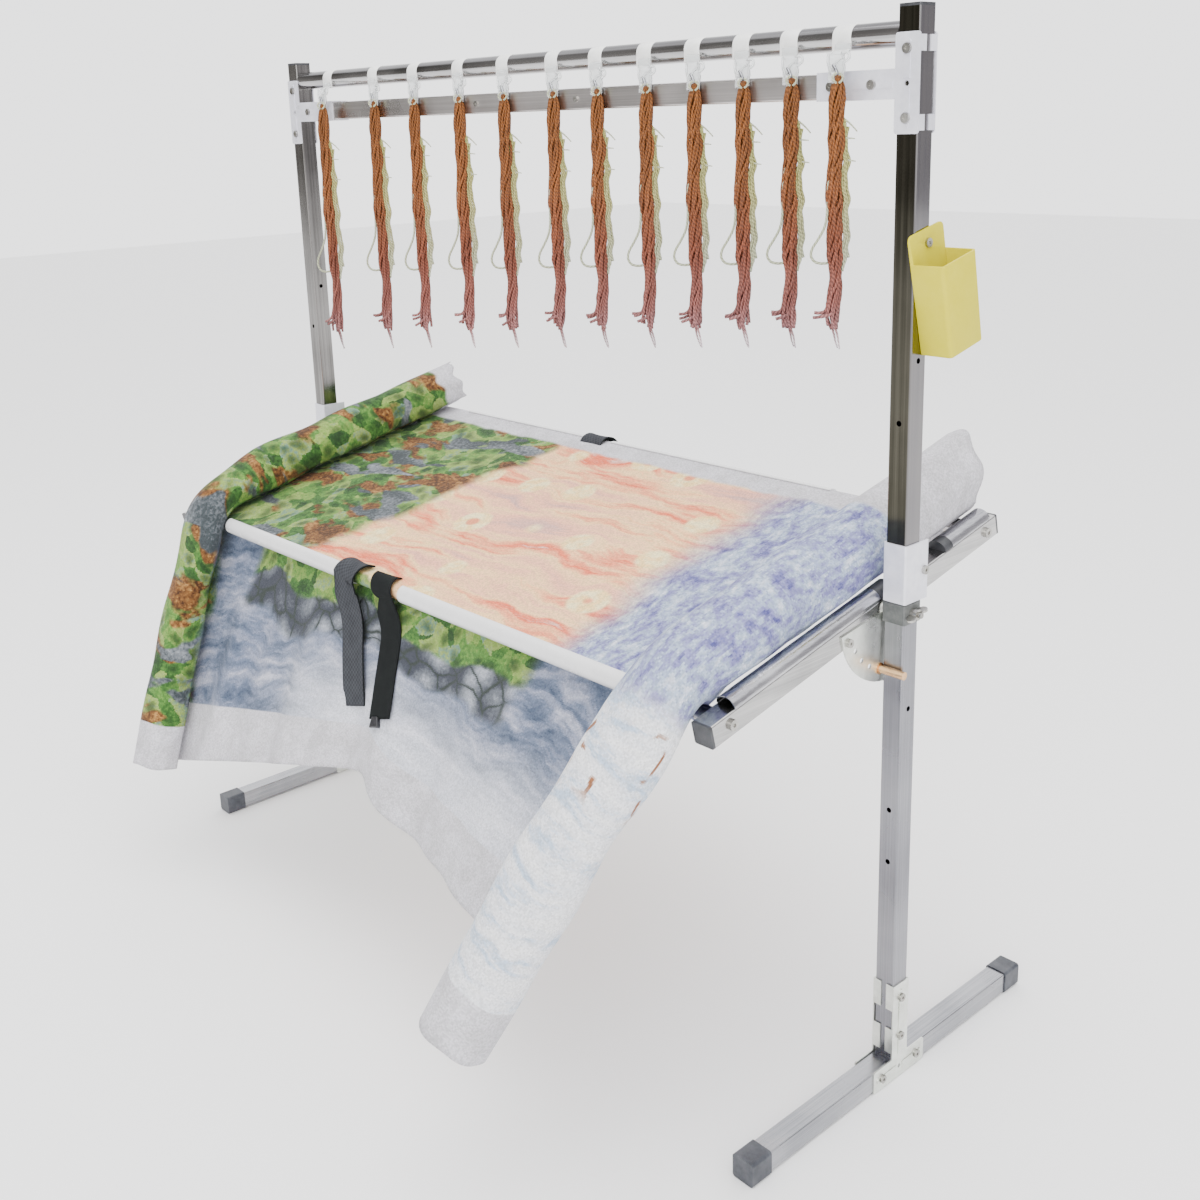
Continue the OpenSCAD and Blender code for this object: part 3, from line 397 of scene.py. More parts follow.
pick_edges(tool_box, lambda a, b: max(a.x, b.x) < 0.001 and min(a.z, b.z) > box_mouth - 0.001)
bpy.ops.mesh.extrude_region_move(TRANSFORM_OT_translate={"value": (0, 0, tab_top - box_mouth)})
bpy.ops.object.mode_set(mode="OBJECT")
apply_modifier(tool_box, "SOLIDIFY", thickness=box_wall, offset=-1, use_even_offset=True)
pick_edges(tool_box, lambda a, b: min(a.z, b.z) > tab_top - 0.001 and abs(a.x - b.x) > 0.001)
bpy.ops.mesh.bevel(offset=0.006, segments=5)
bpy.ops.object.mode_set(mode="OBJECT")
bpy.ops.mesh.primitive_cylinder_add(vertices=24, radius=hole_radius, depth=0.02, location=(0, 0, 0),
                                    rotation=(0, math.pi / 2, 0))
screw_hole = bpy.context.object
apply_modifier(tool_box, "BOOLEAN", object=screw_hole, operation="DIFFERENCE", solver="EXACT")
bpy.data.objects.remove(screw_hole)
apply_modifier(tool_box, "BEVEL", width=0.0007, segments=2,
               limit_method="ANGLE", angle_limit=math.radians(50))
tool_box.data.transform(box_place)
bpy.ops.object.shade_smooth_by_angle(angle=math.radians(35))
tool_box.data.materials.clear()
box_yellow = moulded("box_yellow_plastic", (0.57, 0.50, 0.008), (0.61, 0.54, 0.03), 0.5, 260.0, 0.00006)
set_shader(box_yellow.node_tree, Specular_IOR_Level=0.3)
attach(tool_box, box_yellow, "swinging_box", "yellow_plastic", "tool_box")


# The cloth: one length of woven canvas, cross-stitched all over but for its bare margins. It is
# stretched over the two round bars, hangs down from the front one, and both of its sides are
# rolled up along the arms and hang over the front bar with it.
front_bar = middle("front_bar")
rear_bar = middle("rear_bar")
backwards = Vector((0, rear_bar.y - front_bar.y, rear_bar.z - front_bar.z)).normalized()
upwards = Vector((0, -backwards.z, backwards.y))
to_pivot = (stand_middle.y - front_bar.y) / backwards.y
pivot = Vector((stand_middle.x, 0, 0)) + Vector((0, front_bar.y, front_bar.z)) + backwards * to_pivot
bar_back = (rear_bar - pivot).dot(backwards)
bar_front = (front_bar - pivot).dot(backwards)
wrap_radius = 0.0098


def on_frame(across, back, up):
    return pivot + Vector((across, 0, 0)) + backwards * back + upwards * up


def between(value, table):
    """Reads a table of (place, value) pairs, with straight lines between them."""
    for (x0, y0), (x1, y1) in zip(table, table[1:]):
        if value <= x1:
            part = max(0.0, (value - x0) / (x1 - x0))
            return y0 + (y1 - y0) * part
    return table[-1][1]


def eased(value, table):
    """The table's value, evened out over a few centimetres."""
    near = [between(value + away * 0.012, table) for away in (-2, -1, 0, 1, 2)]
    return sum(near) / len(near)


hang_start = on_frame(0, bar_front + 0.00185, -0.0134)
hem_drop = [(-0.56, 0.345), (-0.471, 0.334), (-0.317, 0.290), (-0.17, 0.250), (-0.051, 0.219),
            (0.002, 0.207), (0.046, 0.240), (0.08, 0.251), (0.176, 0.257), (0.274, 0.271), (0.40, 0.292)]
forward_lean = [(-0.47, 0.37), (-0.10, 0.35), (0.06, 0.36), (0.352, 0.487), (0.48, 0.5)]


def drape_at(across, drop):
    """The hanging cloth's own place and outward way, and how proud its folds stand there."""
    lean = between(across, forward_lean)
    swell = 0.006 * math.sin(across * 30 + 0.6) + 0.0035 * math.sin(across * 71 + 2.1 + drop * 6)
    swell *= between(across, [(0.02, 1.0), (0.12, 0.55), (0.5, 0.5)])
    fold = 0.015 * math.exp(-((across - 0.012 - 0.06 * drop) / 0.03) ** 2)
    fold -= 0.010 * math.exp(-((across - 0.085 - 0.05 * drop) / 0.04) ** 2)
    return (hang_start + Vector((across, -drop * lean, -drop)), Vector((0, -1, lean)).normalized(),
            swell + fold)


def drape_point(side, drop_part):
    drop = 0.3
    for _ in range(6):
        left = -0.497 + 0.012 * drop / 0.35
        right = 0.490 - 0.150 * drop / 0.36
        across = left + (right - left) * side
        drop = eased(across, hem_drop) * drop_part
    place, out, proud = drape_at(across, drop)
    crease = 0.003 * noise.noise(Vector((across * 13, drop * 9, 1.7)))
    proud = (proud + crease) * min(1, 9 * side, 9 * (1 - side)) * min(1, drop / 0.16)
    into_roll = max(0, 1 - abs(across - left) / 0.05), max(0, 1 - abs(right - across) / 0.06)
    proud += (0.012 * into_roll[0] ** 2 + 0.010 * into_roll[1] ** 2) * min(1, drop / 0.06)
    return place + out * proud


def bar_wrap(across, bar_at, turned):
    return on_frame(across, bar_at + wrap_radius * math.cos(turned), wrap_radius * math.sin(turned))


def panel_point(side, station):
    across = -0.500 + 1.010 * side
    part, kind = station
    if kind == "tail":
        return on_frame(across, bar_back, -wrap_radius - 0.022 * (1 - part))
    if kind == "rear":
        return bar_wrap(across, bar_back, math.pi * (part - 0.5))
    if kind == "flat":
        back = bar_back + (bar_front - bar_back) * part
        ripple = 0.0016 * noise.noise(Vector((across * 16, back * 7, 3.1)))
        ripple += 0.0011 * math.sin(across * 64 + 5 * back) * min(1, abs(across) * 2)
        sag = -0.0028 * math.cos(across * 3.2)
        slack = min(1, math.sin(math.pi * part) * 2.5)
        return on_frame(across, back, wrap_radius + (ripple + sag) * slack)
    if kind == "front":
        return bar_wrap(across, bar_front, math.pi * (0.5 + part))
    return drape_point(side, part)


def fill_grid(mesh, spots, maps=(), turned=False):
    """Joins rows of points with faces; maps holds map layers and what each says at a row and column."""
    verts = [[mesh.verts.new(spot) for spot in line] for line in spots]
    around = ((0, 0), (0, 1), (1, 1), (1, 0)) if turned else ((0, 0), (1, 0), (1, 1), (0, 1))
    for row in range(len(spots) - 1):
        for column in range(len(spots[0]) - 1):
            corners = [(row + down, column + right) for down, right in around]
            face = mesh.faces.new([verts[r][c] for r, c in corners])
            face.smooth = True
            for loop, corner in zip(face.loops, corners):
                for layer, value in maps:
                    loop[layer].uv = value(*corner)


def as_object(name, mesh):
    data = bpy.data.meshes.new(name)
    mesh.to_mesh(data)
    mesh.free()
    piece = bpy.data.objects.new(name, data)
    bpy.context.collection.objects.link(piece)
    return piece


def run_along(points):
    """How far each of the points lies along the line through them."""
    run = [0.0]
    for a, b in zip(points, points[1:]):
        run.append(run[-1] + (b - a).length)
    return run


def grid_sheet(name, rows, columns, point, across_of, hem_of, thickness):
    """A cloth grid with its own maps: 'weave' in metres over the cloth, 'hem' the way to its ends."""
    sheet = bmesh.new()
    weave = sheet.loops.layers.uv.new("weave")
    hem = sheet.loops.layers.uv.new("hem")
    spots = [[point(column, row) for column in range(columns)] for row in range(rows)]
    run = [0.0]
    for above, below in zip(spots, spots[1:]):
        steps = sorted((a - b).length for a, b in zip(above, below))
        run.append(run[-1] + steps[len(steps) // 2])
    fill_grid(sheet, spots, ((weave, lambda row, column: (across_of(column), run[row])),
                             (hem, lambda row, column: hem_of(row, run))))
    cloth = as_object(name, sheet)
    apply_modifier(cloth, "SOLIDIFY", thickness=thickness, offset=0)
    return cloth


stations = [(i / 3, "tail") for i in range(3)] + [(i / 10, "rear") for i in range(10)]
stations += [(i / 70, "flat") for i in range(70)] + [(i / 12, "front") for i in range(12)]
first_drape = len(stations)
stations += [(i / 60, "drape") for i in range(61)]
panel_columns, panel_width, hem_reach = 200, 1.010, 0.26
panel = grid_sheet(
    "cloth_panel", len(stations), panel_columns,
    lambda column, row: panel_point(column / (panel_columns - 1), stations[row]),
    lambda column: panel_width * column / (panel_columns - 1) + 0.004,
    lambda row, run: ((1 - stations[row][0]) * hem_reach if row >= first_drape
                      else hem_reach, run[row] - 0.05), 0.0004)


# A rolled side: the canvas curled up under itself, laid on the stretched part beside its arm,
# bent over the front bar and hanging free.
def smooth_path(corners, steps):
    points = []
    ends = [corners[0] * 2 - corners[1]] + corners + [corners[-1] * 2 - corners[-2]]
    for i in range(1, len(ends) - 2):
        a, b, c, d = ends[i - 1:i + 3]
        for part in range(steps):
            t = part / steps
            points.append(0.5 * ((2 * b) + (c - a) * t + (2 * a - 5 * b + 4 * c - d) * t * t
                                 + (3 * b - a - 3 * c + d) * t * t * t))
    points.append(corners[-1])
    return points


def rolled_side(name, corners, hand, radius, wide, high, rise, uneven, seed, cloth_start):
    """The canvas curled round the line through corners; hand is 1 on the right side, -1 on the left."""
    line = smooth_path(corners, 16)
    rows, columns, turns = len(line), 84, 1.55
    run = run_along(line)

    def point(column, row):
        part = run[row] / run[-1]
        before, after = line[max(0, row - 1)], line[min(rows - 1, row + 1)]
        ahead_here = (after - before).normalized()
        out = Vector((1, 0, 0)) - ahead_here * ahead_here.x
        out.normalize()
        top = out.cross(ahead_here)
        if top.dot(upwards) < 0 and row < rows / 2:
            top = -top
        if top.z < 0 and top.y > 0:
            top = -top
        share = column / (columns - 1)
        turned = math.radians(215) - share * 2 * math.pi * turns
        size = radius * (1 - 0.22 * share)
        size += 0.0016 * noise.noise(Vector((math.cos(turned) * 2, math.sin(turned) * 2 + seed, part * 9)))
        size += 0.0022 * math.sin(part * 38 + turned * 2 + seed) * math.sin(math.pi * part)
        sideways = math.cos(turned) * size * between(part, wide)
        height = math.sin(turned) * size * between(part, high)
        rising = between(part, rise) * max(0, 1 - share / 0.13)
        sideways -= rising * 0.42 * radius
        height -= rising * 0.36 * radius
        lying = (line[row] - pivot).dot(backwards) - bar_front
        if lying > 0:
            if math.sin(turned) < 0 < math.cos(turned):
                sideways = math.cos(turned) ** 0.55 * size * between(part, wide)
            across_here = abs(line[row].x - pivot.x + hand * sideways)
            bed = 0.0115 + 0.003 * share + 0.0140 * max(0, min(1, (across_here - 0.5205) / 0.007))
            low = bed - (line[row] - pivot).dot(upwards)
            height += (max(height, low) - height) * min(1, lying / 0.03)
        slip = uneven(turned) * max(0, 1 - part * 6) + 0.004 * noise.noise(
            Vector((math.cos(turned), math.sin(turned), seed))) * max(0, part * 8 - 7)
        return line[row] + out * (hand * sideways) + top * height - ahead_here * slip

    return grid_sheet(
        name, rows, columns, point,
        lambda column: cloth_start + hand * column / (columns - 1) * radius * 2 * math.pi * turns * 0.89,
        lambda row, along: (along[-1] - along[row], along[row]), 0.0009)


def spot(x, y, z):
    return stand_middle + Vector((x, y, z))


right_roll = rolled_side(
    "cloth_roll_right",
    [on_frame(0.495, 0.232, 0.048), on_frame(0.495, 0.10, 0.045), on_frame(0.495, -0.06, 0.044),
     on_frame(0.493, -0.19, 0.042), on_frame(0.485, -0.262, 0.030), spot(0.468, -0.303, 0.480),
     spot(0.432, -0.346, 0.392), spot(0.392, -0.398, 0.280), spot(0.354, -0.453, 0.166)],
    1, 0.0455, [(0, 1.0), (0.45, 1.04), (0.58, 1.12), (0.75, 1.04), (1, 0.96)],
    [(0, 1.0), (0.40, 0.98), (0.5, 0.80), (0.58, 0.62), (0.66, 0.72), (0.8, 0.92), (1, 0.95)],
    [(0, 0.6), (0.5, 1.0), (0.56, 0.8), (0.62, 0)],
    lambda turned: 0.016 * math.sin(turned) - 0.022 * math.cos(turned) + 0.005 * math.sin(5 * turned),
    4.0, 0.94)
left_roll = rolled_side(
    "cloth_roll_left",
    [on_frame(-0.488, 0.206, 0.045), on_frame(-0.488, 0.10, 0.045), on_frame(-0.488, -0.06, 0.045),
     on_frame(-0.487, -0.19, 0.043), on_frame(-0.484, -0.264, 0.026), spot(-0.482, -0.292, 0.470),
     spot(-0.481, -0.324, 0.380), spot(-0.477, -0.361, 0.275), spot(-0.473, -0.397, 0.171)],
    -1, 0.0355, [(0, 1.0), (0.5, 1.04), (0.58, 1.1), (0.75, 1.0), (1, 0.96)],
    [(0, 1.0), (0.42, 1.0), (0.5, 0.85), (0.58, 0.66), (0.66, 0.78), (0.8, 0.95), (1, 0.97)],
    [(0, 0), (1, 0)],
    lambda turned: 0.010 * math.sin(2 * turned) + 0.010 * math.sin(turned) + 0.004 * math.sin(7 * turned),
    9.0, 0.02)


# What is stitched on the cloth is a plain design of leaves, rosettes, waves and pebbles, laid
# out in rows; every stitch fills one square of the canvas.
def map_of(tree, uv_map):
    return put(tree, "UVMap", {}, uv_map=uv_map).outputs["UV"]


def parts_of(tree, vector):
    return put(tree, "SeparateXYZ", {"Vector": vector}).outputs


def stitched(name):
    paint, tree = new_paint(name, Roughness=0.82, Sheen_Weight=0.06, Specular_IOR_Level=0.25)

    sums, mapping = partial(figure, tree), partial(mapped, tree)
    plus, minus, times = (partial(sums, operation) for operation in ("ADD", "SUBTRACT", "MULTIPLY"))
    size_of, over = partial(sums, "ABSOLUTE"), partial(mixed, tree)
    rise, toned = partial(step, tree), partial(tones, tree)

    def cloudy(vector, scale, detail=3.0, rough=0.55):
        return noise_of(tree, vector, scale, detail, rough)

    def cells(vector, scale, feature="F1", random_part=1.0):
        sockets = {"Vector": vector, "Scale": scale, "Randomness": random_part}
        return put(tree, "TexVoronoi", sockets, feature=feature).outputs

    weave = map_of(tree, "weave")
    hem = parts_of(tree, map_of(tree, "hem"))
    stitch = 0.0018
    square = put(tree, "VectorMath", {0: weave, 1: (stitch,) * 3}, operation="SNAP").outputs["Vector"]
    wander = put(tree, "TexNoise", {"Vector": square, "Scale": 7.0, "Detail": 4.0}).outputs["Color"]
    bent = put(tree, "VectorMath", {0: wander, 1: (0.10, 0.10, 0), 2: square},
               operation="MULTIPLY_ADD").outputs["Vector"]
    across, down = parts_of(tree, bent)["X"], parts_of(tree, bent)["Y"]

    # field of soft bands in peach, cream and rose
    bands = cloudy(mapping(bent, (1.1, 8.5, 1)), 2.6, 5.0, 0.6)
    field = toned(bands, (0.28, (0.68, 0.52, 0.50)), (0.40, (0.92, 0.60, 0.48)), (0.50, (0.98, 0.76, 0.50)),
                  (0.57, (0.93, 0.50, 0.34)), (0.615, (0.86, 0.30, 0.18)), (0.66, (0.84, 0.68, 0.62)))
    # rosettes in rows over the field
    bloom = cells(mapping(square, (1, 1, 1), (0.02, 0.03, 0)), 9.5, "F1", 0.35)
    petals = rise(bloom["Distance"], 0.30, 0.24)
    heart = rise(bloom["Distance"], 0.12, 0.08)
    field = over(petals, field, toned(cloudy(square, 60.0),
                                      (0.4, (0.95, 0.76, 0.46)), (0.6, (0.97, 0.88, 0.62))))
    field = over(heart, field, (0.86, 0.46, 0.30))
    # band of blue and lilac where the field ends
    lilac = toned(plus(times(cloudy(mapping(bent, (5.0, 2.6, 1)), 8.0, 8.0, 0.78), 0.75),
                       times(cloudy(mapping(square, (1.0, 0.45, 1)), 150.0, 2.0), 0.25)),
                  (0.37, (0.20, 0.20, 0.42)), (0.46, (0.40, 0.40, 0.60)), (0.53, (0.54, 0.61, 0.71)),
                  (0.62, (0.80, 0.81, 0.87)))
    field = over(rise(across, 0.80, 0.88), field, lilac)
    # leaves in clumps
    clump = cells(bent, 44.0)
    leaf_tone = put(tree, "SeparateColor", {"Color": clump["Color"]}).outputs["Red"]
    rim = rise(clump["Distance"], 0.62, 0.12)
    speck = cloudy(square, 190.0, 2.0)
    leaf = toned(plus(times(leaf_tone, 0.55), times(speck, 0.5)),
                 (0.20, (0.08, 0.16, 0.06)), (0.34, (0.15, 0.29, 0.10)), (0.46, (0.24, 0.41, 0.14)),
                 (0.58, (0.37, 0.49, 0.18)), (0.70, (0.46, 0.54, 0.24)), (0.82, (0.30, 0.43, 0.36)))
    leaf = over(times(rim, 0.62), leaf, (0.05, 0.10, 0.05))
    greens = leaf
    rust = cells(bent, 34.0)
    rust_leaf = toned(plus(times(rust["Distance"], -0.4), times(speck, 1.1)),
                      (0.15, (0.16, 0.09, 0.04)), (0.40, (0.36, 0.21, 0.09)), (0.60, (0.56, 0.38, 0.18)))
    leaf = over(rise(cloudy(mapping(bent, (1, 1.6, 1)), 9.0, 3.0), 0.53, 0.57), leaf, rust_leaf)
    stone = toned(plus(times(cells(mapping(bent, (1.0, 1.9, 1)), 13.0)["Distance"], -0.6),
                       speck),
                  (0.05, (0.15, 0.17, 0.18)), (0.30, (0.30, 0.32, 0.34)), (0.55, (0.46, 0.48, 0.50)))
    leaf = over(rise(cloudy(mapping(bent, (1, 2.4, 1), (3, 1, 0)), 8.0, 2.0), 0.57, 0.60), leaf, stone)
    hedge = minus(0.40, times(size_of(minus(down, 0.20)), 0.25))
    picture = over(rise(minus(across, hedge), 0.015, -0.015), field, leaf)
    # hanging part: water in pale waves, a hedge below the bar, pebbles under the hedge
    water = toned(cloudy(mapping(bent, (1.6, 7.0, 1)), 6.0, 6.0, 0.66),
                  (0.34, (0.15, 0.19, 0.26)), (0.47, (0.31, 0.35, 0.44)), (0.58, (0.48, 0.50, 0.58)),
                  (0.70, (0.70, 0.70, 0.76)))
    pale_foot = times(rise(down, 0.66, 0.78), rise(across, 0.22, 0.50))
    hanging = over(times(pale_foot, 0.75), water, (0.88, 0.88, 0.91))
    pebble = cells(mapping(bent, (1, 1.25, 1)), 24.0)
    pebble_gap = cells(mapping(bent, (1, 1.25, 1)), 24.0, "DISTANCE_TO_EDGE")
    pebble_tone = toned(plus(times(pebble["Distance"], -0.85),
                                         plus(times(speck, 0.35), 0.36)),
                        (-0.0, (0.15, 0.16, 0.19)), (0.22, (0.31, 0.33, 0.36)), (0.45, (0.52, 0.54, 0.58)))
    pebble_tone = over(rise(pebble_gap["Distance"], 0.07, 0.01), pebble_tone, (0.12, 0.14, 0.13))
    low_row = plus(0.675, times(sums("SINE", times(across, 22.0)), 0.012))
    row_here = rise(size_of(minus(across, 0.50)), 0.33, 0.30)
    hanging = over(times(row_here, rise(minus(down, low_row), 0.012, -0.004)),
                   hanging, pebble_tone)
    hanging = over(times(row_here, rise(minus(down, low_row), -0.045, -0.055)),
                   hanging, greens)
    picture = over(rise(down, 0.555, 0.56), picture, hanging)
    # sides: green and rust on the left roll, lilac and then nearly bare cloth on the right one
    picture = over(rise(across, 0.085, 0.06), picture, leaf)
    pale = toned(cloudy(mapping(bent, (2.0, 9.0, 1)), 5.0, 5.0, 0.7),
                 (0.38, (0.62, 0.70, 0.80)), (0.47, (0.84, 0.85, 0.88)), (0.6, (0.90, 0.90, 0.91)))
    twig = cells(mapping(bent, (1.3, 0.9, 1), (0.4, 0.2, 0)), 24.0, "DISTANCE_TO_EDGE")
    sprig = times(rise(twig["Distance"], 0.075, 0.045),
                 rise(cloudy(mapping(square, (1, 1, 1), (5, 2, 0)), 17.0, 2.0), 0.50, 0.53))
    sprig = times(sprig, times(rise(down, 0.60, 0.62), rise(down, 0.72, 0.69)))
    pale = over(sprig, pale, (0.46, 0.27, 0.17))
    picture = over(rise(across, 0.965, 0.975), picture, over(rise(down, 0.57, 0.60), lilac, pale))
    # bare canvas along the hem and at the back ends
    canvas = toned(cloudy(weave, 30.0), (0.35, (0.68, 0.67, 0.69)), (0.65, (0.76, 0.75, 0.78)))
    picture = over(rise(hem["X"], 0.066, 0.064), picture, canvas)
    rear_bare = times(rise(across, 0.93, 0.97), 0.15)
    rear_bare = plus(plus(rear_bare, 0.028), times(cloudy(square, 14.0), 0.02))
    picture = over(rise(minus(hem["Y"], rear_bare), 0.004, -0.004), picture, canvas)

    # each stitch: its own random tone, crossed threads, and painted shade darkening the holes of the canvas
    # between
    grain = put(tree, "TexWhiteNoise", {"Vector": square}, noise_dimensions="2D").outputs["Value"]
    corner = put(tree, "VectorMath", {0: weave, 1: square}, operation="SUBTRACT").outputs["Vector"]
    a, b = (minus(sums("DIVIDE", parts_of(tree, corner)[way], stitch), 0.5) for way in "XY")
    thread_a = minus(1.0, times(size_of(minus(a, b)), 2.2))
    thread_b = minus(1.0, times(size_of(plus(a, b)), 2.2))
    crossed = sums("MAXIMUM", sums("MAXIMUM", thread_a, times(thread_b, 0.8)), 0.0)
    # painted shade: the colour is darker away from the crossed threads, in the canvas holes
    shade = times(plus(times(grain, 0.34), 0.80), plus(times(crossed, 0.22), 0.82))
    deep = put(tree, "Gamma", {"Gamma": 1.7, "Color": picture}).outputs["Color"]
    set_shader(tree, Base_Color=over(1.0, deep, shade, "MULTIPLY"),
               Normal=relief(tree, crossed, 0.7, 0.0005))
    return paint


stitched_cloth = stitched("stitched_canvas")
for cloth in (panel, right_roll, left_roll):
    attach(cloth, stitched_cloth, "tilting_frame", "stitched_cloth", "cloth")


# Hook-and-loop straps: short lengths of woven tape. One is grey outside and black inside, lies over
# the front bar and hangs down the cloth; a black one with a small moulded end is passed round the
# bar beside it, and a third is folded over the rear bar.
def woven_tape(name, colour, worn, ribs, fuzz_scale=900.0):
    """Tape: a checked weave of ribs a metre, with a fuzz of loops or hooks over it. Its colour runs from
    colour to worn over a random mottle and, as painted highlight, over the raised weave and fuzz.
    """
    paint, tree = new_paint(name, Roughness=0.9, Specular_IOR_Level=0.15)
    tape = map_of(tree, "tape")
    weave = put(tree, "TexChecker", {"Scale": 1.0, "Vector": mapped(tree, tape, ribs)}).outputs["Fac"]
    height = figure(tree, "MULTIPLY_ADD", weave, 0.4, noise_of(tree, tape, fuzz_scale, 4.0))
    mottle_and_rib_highlight = figure(tree, "MULTIPLY_ADD", noise_of(tree, tape, 60.0, 3.0), 0.8, height)
    # partly painted highlight: where the weave and fuzz stand higher the tape is paler
    tone = put(tree, "MapRange", {6: mottle_and_rib_highlight, 7: (0.5,) * 3, 8: (1.5,) * 3, 9: colour, 10: worn},
               data_type="FLOAT_VECTOR").outputs["Vector"]
    set_shader(tree, Base_Color=tone, Normal=relief(tree, height, 0.6, 0.0004))
    return paint


def tape_strap(name, line, width, thickness, face, back, bow=0.0):
    """A tape along line, a list of (point, outward way), with its own face and back."""
    columns = 13
    points = [place for place, _ in line]
    run = run_along(points)
    rows = []
    for i, (place, out) in enumerate(line):
        way = (points[min(i + 1, len(line) - 1)] - points[max(0, i - 1)]).normalized()
        side = way.cross(out).normalized()
        to_end = min(run[i], run[-1] - run[i])
        for_bow = min(1, to_end / 0.03)
        shares = [j / (columns - 1) - 0.5 for j in range(columns)]
        rows.append([place + side * (share * width) + out * (bow * (share * share - 0.1) * for_bow)
                     for share in shares])
    tape = bmesh.new()
    uv = tape.loops.layers.uv.new("tape")
    fill_grid(tape, rows, ((uv, lambda row, column: (column / (columns - 1) * width, run[row])),), True)
    strap = as_object(name, tape)
    attach(strap, face, "tilting_frame", "woven_strap", "straps")
    strap.data.materials.append(back)
    apply_modifier(strap, "SOLIDIFY", thickness=thickness, offset=0,
                   material_offset=1, material_offset_rim=1)


def over_bar(bar_at, across, drift, radius, first, last, steps):
    """A tape's line round a bar, from the first angle to the last."""
    line = []
    for i in range(steps + 1):
        turned = math.radians(first + (last - first) * i / steps)
        out = backwards * math.cos(turned) + upwards * math.sin(turned)
        line.append((on_frame(across + drift * i / steps, bar_at, 0) + out * radius, out))
    return line


def down_cloth(line, across, swing, drops, gap):
    """The line goes on down the hanging cloth, a gap before it."""
    begin = line[-1][0]
    x0 = begin.x - hang_start.x
    for i, drop in enumerate(drops):
        x = x0 + (across - x0) * (i + 1) / len(drops) * 0.3 + swing * drop
        place, out, proud = drape_at(x, drop)
        place = place + out * (proud * min(1, drop / 0.16)) + out * gap
        blend_in = min(1, (drop - drops[0]) / 0.05)
        straight = Vector((place.x, min(place.y, begin.y - 0.10 * drop), place.z))
        line.append((straight.lerp(place, blend_in), out))
    return line


grey_tape = woven_tape("strap_grey_loops", (0.018, 0.019, 0.023), (0.052, 0.055, 0.062),
                       (300, 300, 1), 1300.0)
black_tape = woven_tape("strap_black_hooks", (0.003, 0.0035, 0.004), (0.010, 0.012, 0.012), (900, 900, 1))
strap_radius = 0.0152
over_cloth = 0.0022
line = over_bar(bar_front, -0.100, -0.016, strap_radius + over_cloth, 25, 178, 22)
line = down_cloth(line, -0.116, 0.30, [0.010 + 0.136 * i / 30 for i in range(31)], 0.0040)
tape_strap("strap_front_grey", line, 0.045, 0.0021, grey_tape, black_tape,
           0.004)
line = over_bar(bar_front, -0.041, 0.014, strap_radius, 52, 200, 22)
line = down_cloth(line, -0.028, 0.31, [0.014 + 0.124 * i / 30 for i in range(31)], 0.0028)
tape_strap("strap_front_black", line, 0.041, 0.0018, black_tape, black_tape,
           -0.003)
end_place, end_out = line[-1]
end_way = (line[-1][0] - line[-3][0]).normalized()
bpy.ops.mesh.primitive_cube_add(size=1, location=(0, 0, 0))
strap_tip = bpy.context.object
strap_tip.name = "strap_moulded_end"
tip_side = end_way.cross(end_out).normalized()
frame_of_tip = Matrix((tip_side, end_way, tip_side.cross(end_way))).transposed()
for vertex in strap_tip.data.vertices:
    wide = 0.011 if vertex.co.y < 0 else 0.019
    low = Vector((vertex.co.x * wide, vertex.co.y * 0.014 + 0.004, vertex.co.z * 0.006))
    vertex.co = end_place + tip_side * 0.008 + frame_of_tip @ low
apply_modifier(strap_tip, "BEVEL", width=0.0018, segments=3)
attach(strap_tip, moulded("strap_end_plastic", (0.01, 0.01, 0.012), (0.05, 0.05, 0.055), 0.3),
       "tilting_frame", "woven_strap", "straps")
line = over_bar(bar_back, -0.112, 0.008, strap_radius, 168, -20, 22)
begin = line[-1][0]
out = backwards * math.cos(-0.35) + upwards * math.sin(-0.35)
line += [(begin + Vector((0.001 * i, 0.0006 * i, -0.0034 * i)), out) for i in range(1, 12)]
tape_strap("strap_rear_grey", line, 0.044, 0.0021, grey_tape, black_tape,
           0.003)


# Thread clips: each is a short white band, snapped over the rod, with a skirt that hangs in front
# of it. A clear hook is pressed into the skirt and carries the skein on its turned-up end.
rod = middle("thread_rod")
rod_low, rod_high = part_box("thread_rod")
rod_radius = (rod_high[2] - rod_low[2]) / 2
clip_white = moulded("clip_band_plastic", (0.84, 0.84, 0.82), (0.66, 0.66, 0.64), 0.28,
                     500.0, 0.00004, 0.7, 0.3)
pin_steel = steel("clip_pin_steel", (0.45, 0.46, 0.48), (0.22, 0.22, 0.24), 0.25,
                  (400, 400, 400), 0.00004, 80)
clear, clear_tree = new_paint("hook_clear_plastic", Base_Color=(0.93, 0.95, 0.95, 1),
                              Transmission_Weight=0.55, IOR=1.45)
clear_flow = noise_of(clear_tree, place_on_piece(clear_tree), 260.0, 3.0)
set_shader(clear_tree, Roughness=spread(clear_tree, clear_flow, 0.0, 1.0, 0.08, 0.30))


def band(name, profile, x0, x1, thickness, bevel):
    """A strip of sheet, bent along profile, a list of (y, z), between x0 and x1."""
    strip = bmesh.new()
    fill_grid(strip, [[(x, y, z) for x in (x0, x1)] for y, z in profile])
    piece = as_object(name, strip)
    apply_modifier(piece, "SOLIDIFY", thickness=thickness, offset=1)
    apply_modifier(piece, "BEVEL", width=bevel, segments=2,
                   limit_method="ANGLE", angle_limit=math.radians(50))
    return piece


